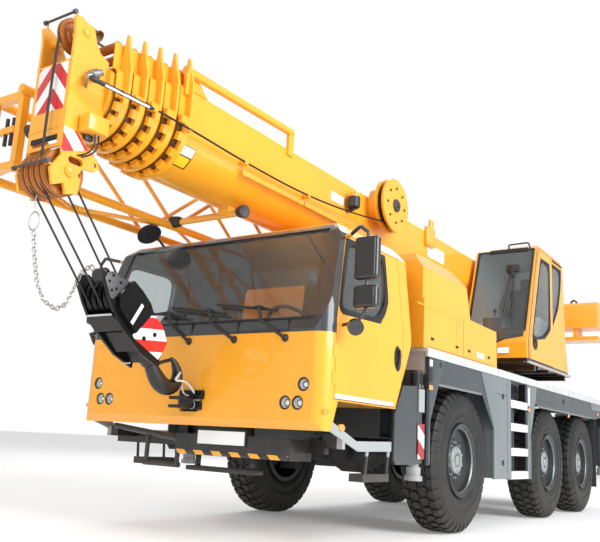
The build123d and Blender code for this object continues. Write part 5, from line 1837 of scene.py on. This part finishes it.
def add_head_fittings():
    body = "boom_head"
    radius, y = 0.131 - 0.012, 0.05
    angles = [radians(100 - 12.5 * step) for step in range(9)]
    over = [(HEAD_SHEAVE.x + radius * cos(a), y, HEAD_SHEAVE.z + radius * sin(a)) for a in angles]
    line = [(5.07, 0.042, ROPE_Z), (5.19, 0.047, 3.545), *over, (HEAD_SHEAVE.x + radius + 0.003, y, 3.36),
            (5.418, y, 3.1), (5.419, y, 2.6), (5.418, y, 2.47)]
    fit_tube(body, "rope_dark", "head_rope", line, ROPE_RADIUS, bend=1, angle=60)
    for side_name, side in SIDES:
        caps = []
        for sheave, y in ((LOW_SHEAVE, 0.2), (HEAD_SHEAVE, 0.194)):
            caps.append(lathe(
                "pin_cap", [(-0.004, 0), (-0.004, 0.022), (0.006, 0.022), (0.008, 0.0176), (0.008, 0)],
                (sheave.x, side * y, sheave.z), sides=20, axis=(0, side, 0),
            ))
        fitted(joined(f"pin_caps_{side_name}", caps), body, "yellow", angle=40)
    fit_blocks(body, (
        # painted shade: a black block stands for the shaded inside of the slot in the head's front
        ("head_slot_shade", (5.372, -0.147, 2.642), (5.3795, 0.127, 2.68), "seal", 0.002),
        ("limit_switch", (5.095, 0.19, 2.725), (5.27, 0.3, 2.85), "yellow", 0.012),
        ("switch_bracket", (5.15, 0.18, 2.69), (5.215, 0.215, 2.735), "dark_steel", 0.003),
    ))
    fitted(
        cross_plate("head_sign", [(-0.15, 2.862), (0.15, 2.862), (0.15, 3.205), (-0.15, 3.205)], 5.3755, 0.004),
        body, "head_sign", ease=0.001,
    )
    triangle = side_plate("side_sign", [(5.374, 2.725), (5.27, 2.723), (5.161, 2.627), (5.372, 2.551)], 0.1835, 0.004)
    fitted(triangle, body, "side_sign")
    fitted(mirrored(triangle, "side_sign_right"), body, "side_sign")
    for number, dx in enumerate((0.0, 0.03), start=1):
        flex(
            f"switch_wire_{number}", body,
            [(5.14 + dx, 0.25, 2.726), (5.13 + dx, 0.252, 2.66), (5.16 + dx, 0.245, 2.6),
             (5.19 + dx, 0.215, 2.57), (5.215 + dx, 0.19, 2.565)],
            0.012,
        )
    fitting = lathe(
        "head_fitting", [(-0.07, 0), (-0.07, 0.024), (-0.03, 0.024), (-0.028, 0.036), (0.03, 0.036),
                         (0.032, 0.02), (0.075, 0.018), (0.075, 0)],
        (5.225, 0.235, 3.15), sides=20, axis=(0.84, 0, -0.55),
    )
    hold = block("fitting_foot", (5.195, 0.18, 3.135), (5.255, 0.215, 3.165))
    fitted(joined("head_fitting", [fitting, hold]), body, "steel", angle=40)
    tag = Vector((5.3, 0.3, 3.075))
    tail = Vector((4.85, 0.452, 3.0))
    run = (tail - tag).length
    fit_lathe(
        body, "black_plastic", "tag_cylinder",
        [
            (0, 0), (0, 0.018), (0.03, 0.022), (0.05, 0.017), (run * 0.45, 0.017), (run * 0.45, 0.021),
            (run * 0.5, 0.021), (run * 0.5, 0.017), (run - 0.03, 0.017), (run, 0.006), (run, 0),
        ],
        tag, sides=20, axis=tail - tag,
    )
    fit_tube(
        body, "white_panel", "tag_stripe",
        [tag.lerp(tail, 0.2) + Vector((0, 0.012, -0.01)), tag.lerp(tail, 0.9) + Vector((0, 0.012, -0.01))],
        0.009, sides=2,
    )
    fit_tube(body, "steel", "tag_holder", [(5.24, 0.176, 3.06), (5.29, 0.24, 3.1), (5.3, 0.29, 3.08)], 0.013, bend=1)
    fit_lathe(
        body, "bell", "bell_roller",
        [
            (-0.02, 0), (-0.02, 0.03), (0.02, 0.03), (0.04, 0.048), (0.052, 0.048), (0.052, 0.041),
            (0.03, 0.022), (0.026, 0),
        ],
        (5.19, 0.13, 3.505), sides=28, axis=(-0.5, 1, -0.9),
    )
    knobs = []
    for x, z, reach in ((5.457, 2.46, 0.172), (5.38, 3.566, 0.156)):
        for side in (1, -1):
            knobs.append(lathe("knob", disc(-0.012, 0.012, 0.017), (x, side * reach, z), sides=14))
    fitted(joined("guard_knobs", knobs), body, "dark_steel", angle=40)
    lamp_base = lathe(
        "boom_lamp", [(-0.05, 0), (-0.05, 0.03), (-0.01, 0.05), (0.014, 0.052), (0.014, 0.044), (0, 0)],
        (5.33, -0.235, 2.78), sides=24, axis=(0.8, 0, -0.6),
    )
    arm = tube("boom_lamp_arm", [(5.29, -0.18, 2.81), (5.295, -0.235, 2.8)], 0.012)
    fitted(joined("boom_lamp", [lamp_base, arm]), body, "black_plastic", angle=40)


class CRANE_OT_head_fittings(bpy.types.Operator):
    """Adds rope over the top sheave, signs, limit switch, tag cylinder and lamp at the head"""

    bl_idname = "crane.head_fittings"
    bl_label = "Boom head fittings"

    def execute(self, context):
        add_head_fittings()
        return {"FINISHED"}


def add_chain():
    knots = [Vector(p) for p in (
        (5.374, 0.014, 2.022), (5.34, -0.008, 1.915), (5.29, -0.036, 1.8), (5.24, -0.066, 1.707),
        (5.16, -0.088, 1.612), (5.06, -0.086, 1.57), (4.98, -0.086, 1.617), (4.905, -0.112, 1.745),
        (4.85, -0.12, 1.87), (4.79, -0.1, 1.935), (4.77, -0.085, 1.9),
    )]
    lengths = [0.0]
    for a, b in zip(knots, knots[1:]):
        lengths.append(lengths[-1] + (b - a).length)
    pitch = 0.026
    links = []
    link = lathe("link", [(0, 0.0105), (0.0035, 0.014), (0, 0.0175), (-0.0035, 0.014), (0, 0.0105)],
                 (0, 0, 0), sides=12, axis=(0, 0, 1))
    for number in range(int(lengths[-1] / pitch)):
        along = (number + 0.5) * pitch
        index = next(i for i in range(len(knots) - 1) if lengths[i + 1] >= along)
        share = (along - lengths[index]) / (lengths[index + 1] - lengths[index])
        where = knots[index].lerp(knots[index + 1], share)
        aim = (knots[index + 1] - knots[index]).to_track_quat("X", "Z").to_matrix().to_4x4()
        roll = Matrix.Rotation(pi / 2 * (number % 2), 4, "X")
        shape = Matrix.Translation(where) @ aim @ roll @ Matrix.Diagonal((1.35, 1, 1, 1))
        links.append(copied(link, "link_placed", shape))
    bpy.data.objects.remove(link)
    fitted(joined("limit_chain", links), "lower_block", "galvanised", angle=60)
    ring = lathe("ring", [(0, 0.034), (0.004, 0.038), (0, 0.042), (-0.004, 0.038), (0, 0.034)],
                 (0, 0, 0), sides=28, axis=(0.95, 0.3, 0))
    shape = Matrix.Translation((5.38, 0.008, 2.093)) @ Matrix.Diagonal((1, 1.05, 1.62, 1))
    placed = moved(ring, "ring_placed", shape)
    hanger = tube("hanger", [(5.382, 0.004, 2.16), (5.384, -0.002, 2.21), (5.376, -0.006, 2.275)], 0.004)
    fitted(joined("limit_ring", [placed, hanger]), "boom_head", "galvanised", angle=60)


class CRANE_OT_chain(bpy.types.Operator):
    """Adds the slack limit chain with its ring, from the head to the hook block"""

    bl_idname = "crane.limit_chain"
    bl_label = "Limit chain"

    def execute(self, context):
        add_chain()
        return {"FINISHED"}


def add_hook_rigging():
    body = "lower_block"
    tilt, lie = radians(42), radians(48)
    up = Vector((sin(lie), 0, cos(lie)))
    ahead = Vector((up.z, 0, -up.x))
    hook_at = Vector((4.2233, 0, 1.31915))
    middle = hook_at + up * 0.6
    across = Vector((cos(tilt), 0, -sin(tilt)))
    # y at the head, y at the block, side of the sheaves
    falls = ((-0.056, -0.09, 1), (0.056, 0.03, 1), (-0.112, -0.09, -1), (0.0, 0.03, -1))
    parts = []
    for head_y, block_y, side in falls:
        top = LOW_SHEAVE + across * (side * 0.15) + Vector((0, head_y, 0))
        foot = middle + across * (side * 0.119) + Vector((0, block_y, 0))
        parts.append(tube("fall", [top, foot], 0.0075, sides=2))
    fitted(joined("falls", parts), body, "rope_dark", angle=60)

    def at(u, y, w):
        return middle + ahead * u + up * w + Vector((0, y, 0))

    for side_name, side in SIDES:
        skin = side * 0.15
        deep = Vector((0, side * 0.003, 0))
        # outlines in the block's own axes: ahead, up
        crown = ((-0.048, 0.172), (0.018, 0.22), (0.062, 0.206), (0.113, 0.07), (0.102, 0.048), (-0.096, 0.048),
                 (-0.1, 0.06), (-0.05, 0.126))
        caps = plate("cap_plate", [at(u, skin, w) for u, w in crown], deep)
        caps.name = f"block_cap_{side_name}"
        fitted(caps, body, "cap_metal", ease=0.002)
        dots = []
        for u, w in ((-0.01, 0.175), (0.045, 0.165), (0.07, 0.105), (0.03, 0.085), (-0.03, 0.095)):
            dots.append(lathe("dot", disc(-0.003, 0.005, 0.011), at(u, side * 0.15, w), sides=16, axis=(0, side, 0)))
        fitted(joined(f"block_dots_{side_name}", dots), body, "block_black")
        board = ((-0.103, -0.256), (-0.146, -0.3), (-0.154, -0.4), (-0.11, -0.522), (-0.003, -0.552),
                 (0.044, -0.556), (0.124, -0.29), (0.12, -0.258))
        sign = plate("mark", [at(u, skin, w) for u, w in board], deep)
        sign.name = f"block_mark_{side_name}"
        fitted(sign, body, "block_mark")
        label = plate(
            "label", [at(-0.066, side * 0.185, -0.122), at(-0.07, side * 0.185, -0.15), at(0.1, side * 0.185, -0.184),
                      at(0.104, side * 0.185, -0.155)], deep,
        )
        label.name = f"block_label_{side_name}"
        fitted(label, body, "white_panel")
        fit_lathe(
            body, "dark_steel", f"block_pin_{side_name}",
            [(-0.004, 0), (-0.004, 0.05), (0.014, 0.05), (0.02, 0.04), (0.02, 0)],
            at(0, side * 0.15, 0), sides=28, axis=(0, side, 0),
        )
        bolts = []
        for u, w in ((0.055, -0.345), (-0.045, -0.395)):
            bolts.append(lathe("bolt", disc(-0.004, 0.008, 0.017),
                               at(u, side * 0.15, w), sides=20, axis=(0, side, 0)))
        fitted(joined(f"block_bolts_{side_name}", bolts), body, "block_black")
    band = tube("guard_band", [at(0.16, -0.126, -0.036), at(0.16, 0.126, -0.036)], 0.007, sides=2)
    foot = tube("guard_band_low", [at(0.128, -0.124, -0.512), at(0.128, -0.04, -0.512)], 0.005, sides=2)
    fitted(joined("guard_bands", [band, foot]), body, "aluminium")
    # centre line of the forging: ahead, up, share of the full thickness
    line = (
        (-0.004, -0.54, 0.76), (0.008, -0.61, 0.76), (0.022, -0.68, 0.92), (0.032, -0.75, 1.06), (0.026, -0.83, 1.1),
        (-0.01, -0.892, 0.98), (-0.064, -0.92, 0.9), (-0.12, -0.914, 0.8), (-0.163, -0.878, 0.68),
        (-0.186, -0.822, 0.54), (-0.192, -0.77, 0.36), (-0.186, -0.738, 0.16),
    )
    forging = tube(
        "hook", [at(u, 0, w) for u, w, _ in line], 0.061, bend=1, sides=7, radii=[share for *_, share in line]
    )
    latch = tube("hook_latch", [at(-0.012, 0, -0.672), at(-0.08, 0, -0.69), at(-0.176, 0, -0.748)], 0.014, sides=2)
    collar = lathe("hook_collar", [(-0.03, 0), (-0.03, 0.06), (-0.018, 0.07), (0.03, 0.07), (0.03, 0)],
                   at(0, 0, -0.59), sides=32, axis=up)
    hook = joined("forged_hook", [forging, latch, collar])
    fitted(hook, "load_hook", "forged", angle=60)
    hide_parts("hook")
    lashing = tube("lashing", [at(-0.15, 0.05, -0.86), at(-0.1, 0.066, -0.85), at(-0.06, 0.05, -0.862),
                               (3.86, 0.04, 1.2), (3.8, 0.06, 1.15), (3.772, 0.074, 1.112)], 0.009, bend=1)
    second = tube(
        "lashing_tail", [at(-0.196, -0.02, -0.9), (3.85, 0.01, 1.12), (3.79, 0.0, 1.09), (3.772, 0.02, 1.09)], 0.007,
        bend=1,
    )
    fitted(joined("lashing", [lashing, second]), body, "sling", angle=60)


class CRANE_OT_hook_rigging(bpy.types.Operator):
    """Adds the falls, the block's plates, marks, pins and guards, the forged hook and its lashing"""

    bl_idname = "crane.hook_rigging"
    bl_label = "Falls and hook block"

    def execute(self, context):
        add_hook_rigging()
        return {"FINISHED"}


# ---- stage --------------------------------------------------------------------------
class CRANE_OT_stage(bpy.types.Operator):
    """Adds the pale floor, the soft lights and the camera"""

    bl_idname = "crane.stage"
    bl_label = "Stage"

    def execute(self, context):
        settings = context.scene.crane_stage
        fresh()
        bpy.ops.mesh.primitive_plane_add(size=160, location=(0, 0, 0))
        floor = applied("floor")
        pale, tree, shader = surface("pale_floor")
        wire(
            tree, shader, Base_Color=(0.92, 0.92, 0.92, 1), Roughness=0.7, Emission_Color=(1, 1, 1, 1),
            Emission_Strength=0.16,
        )
        floor.data.materials.append(pale)
        world = bpy.data.worlds.new("studio")
        world.use_nodes = True
        sky = world.node_tree
        # strength of the white room as light, and as the camera sees it
        lighting, seen = 0.62, 1.0
        to_camera = place(sky, "ShaderNodeLightPath").outputs["Is Camera Ray"]
        strength = maths(sky, "ADD", maths(sky, "MULTIPLY", to_camera, seen - lighting), lighting)
        wire(sky, sky.nodes["Background"], Color=(1, 1, 1, 1), Strength=strength)
        context.scene.world = world
        # name, place, width, power
        lights = (
            ("key", (3.0, 15.0, 8.0), 10.0, settings.key_power),
            ("front", (17.0, 2.0, 8.0), 7.0, settings.key_power * 0.24),
            ("rear", (-12.0, -6.0, 12.0), 10.0, settings.key_power * 0.3),
        )
        aim = Vector((0, 0, 1.5))
        for name, place_at, size, power in lights:
            fresh()
            bpy.ops.object.light_add(type="AREA", location=place_at)
            light = bpy.context.object
            light.name = name
            light.rotation_euler = (aim - Vector(place_at)).to_track_quat("-Z", "Y").to_euler()
            light.data.energy, light.data.size = power, size
        fresh()
        turn = [radians(angle) for angle in (102.383, -3.066, 123.917)]
        bpy.ops.object.camera_add(location=(8.295, 4.146, 0.791), rotation=turn)
        camera = bpy.context.object
        camera.data.lens, camera.data.sensor_width = settings.lens, 36.0
        camera.data.shift_x, camera.data.shift_y = -0.0008, 0.0064
        context.scene.camera = camera
        context.scene.view_settings.view_transform = "Standard"
        return {"FINISHED"}


class CRANE_PT_panel(bpy.types.Panel):
    """Lists the crane's settings and operators."""

    bl_idname = "CRANE_PT_panel"
    bl_label = "Mobile crane"
    bl_space_type = "VIEW_3D"
    bl_region_type = "UI"
    bl_category = "Crane"

    def draw(self, context):
        for group in SETTINGS:
            box = self.layout.box()
            values = getattr(context.scene, group)
            for name in values.__annotations__:
                box.prop(values, name)
        for operator in OPERATORS:
            self.layout.operator(operator.bl_idname)


SETTINGS = {"crane_paint": PaintSettings, "crane_stage": StageSettings}
OPERATORS = (
    CRANE_OT_finishes, CRANE_OT_tyres, CRANE_OT_hubs, CRANE_OT_cab_front, CRANE_OT_cab_roof, CRANE_OT_doors,
    CRANE_OT_seats, CRANE_OT_side_fittings, CRANE_OT_outriggers, CRANE_OT_deck_fittings, CRANE_OT_undercarriage,
    CRANE_OT_hood_fittings, CRANE_OT_hood_ledge, CRANE_OT_crane_cab, CRANE_OT_superstructure, CRANE_OT_boom_fittings,
    CRANE_OT_head_fittings, CRANE_OT_hook_rigging, CRANE_OT_chain, CRANE_OT_stage,
)


def register():
    for kind in (*SETTINGS.values(), *OPERATORS, CRANE_PT_panel):
        bpy.utils.register_class(kind)
    for name, kind in SETTINGS.items():
        setattr(bpy.types.Scene, name, PointerProperty(type=kind))


def unregister():
    for name in SETTINGS:
        delattr(bpy.types.Scene, name)
    for kind in (CRANE_PT_panel, *reversed(OPERATORS), *reversed(SETTINGS.values())):
        bpy.utils.unregister_class(kind)


def corners(box):
    return [list(corner) for corner in box]


def main():
    register()
    for operator in OPERATORS:
        group, name = operator.bl_idname.split(".")
        getattr(getattr(bpy.ops, group), name)()


if __name__ == "__main__":
    main()
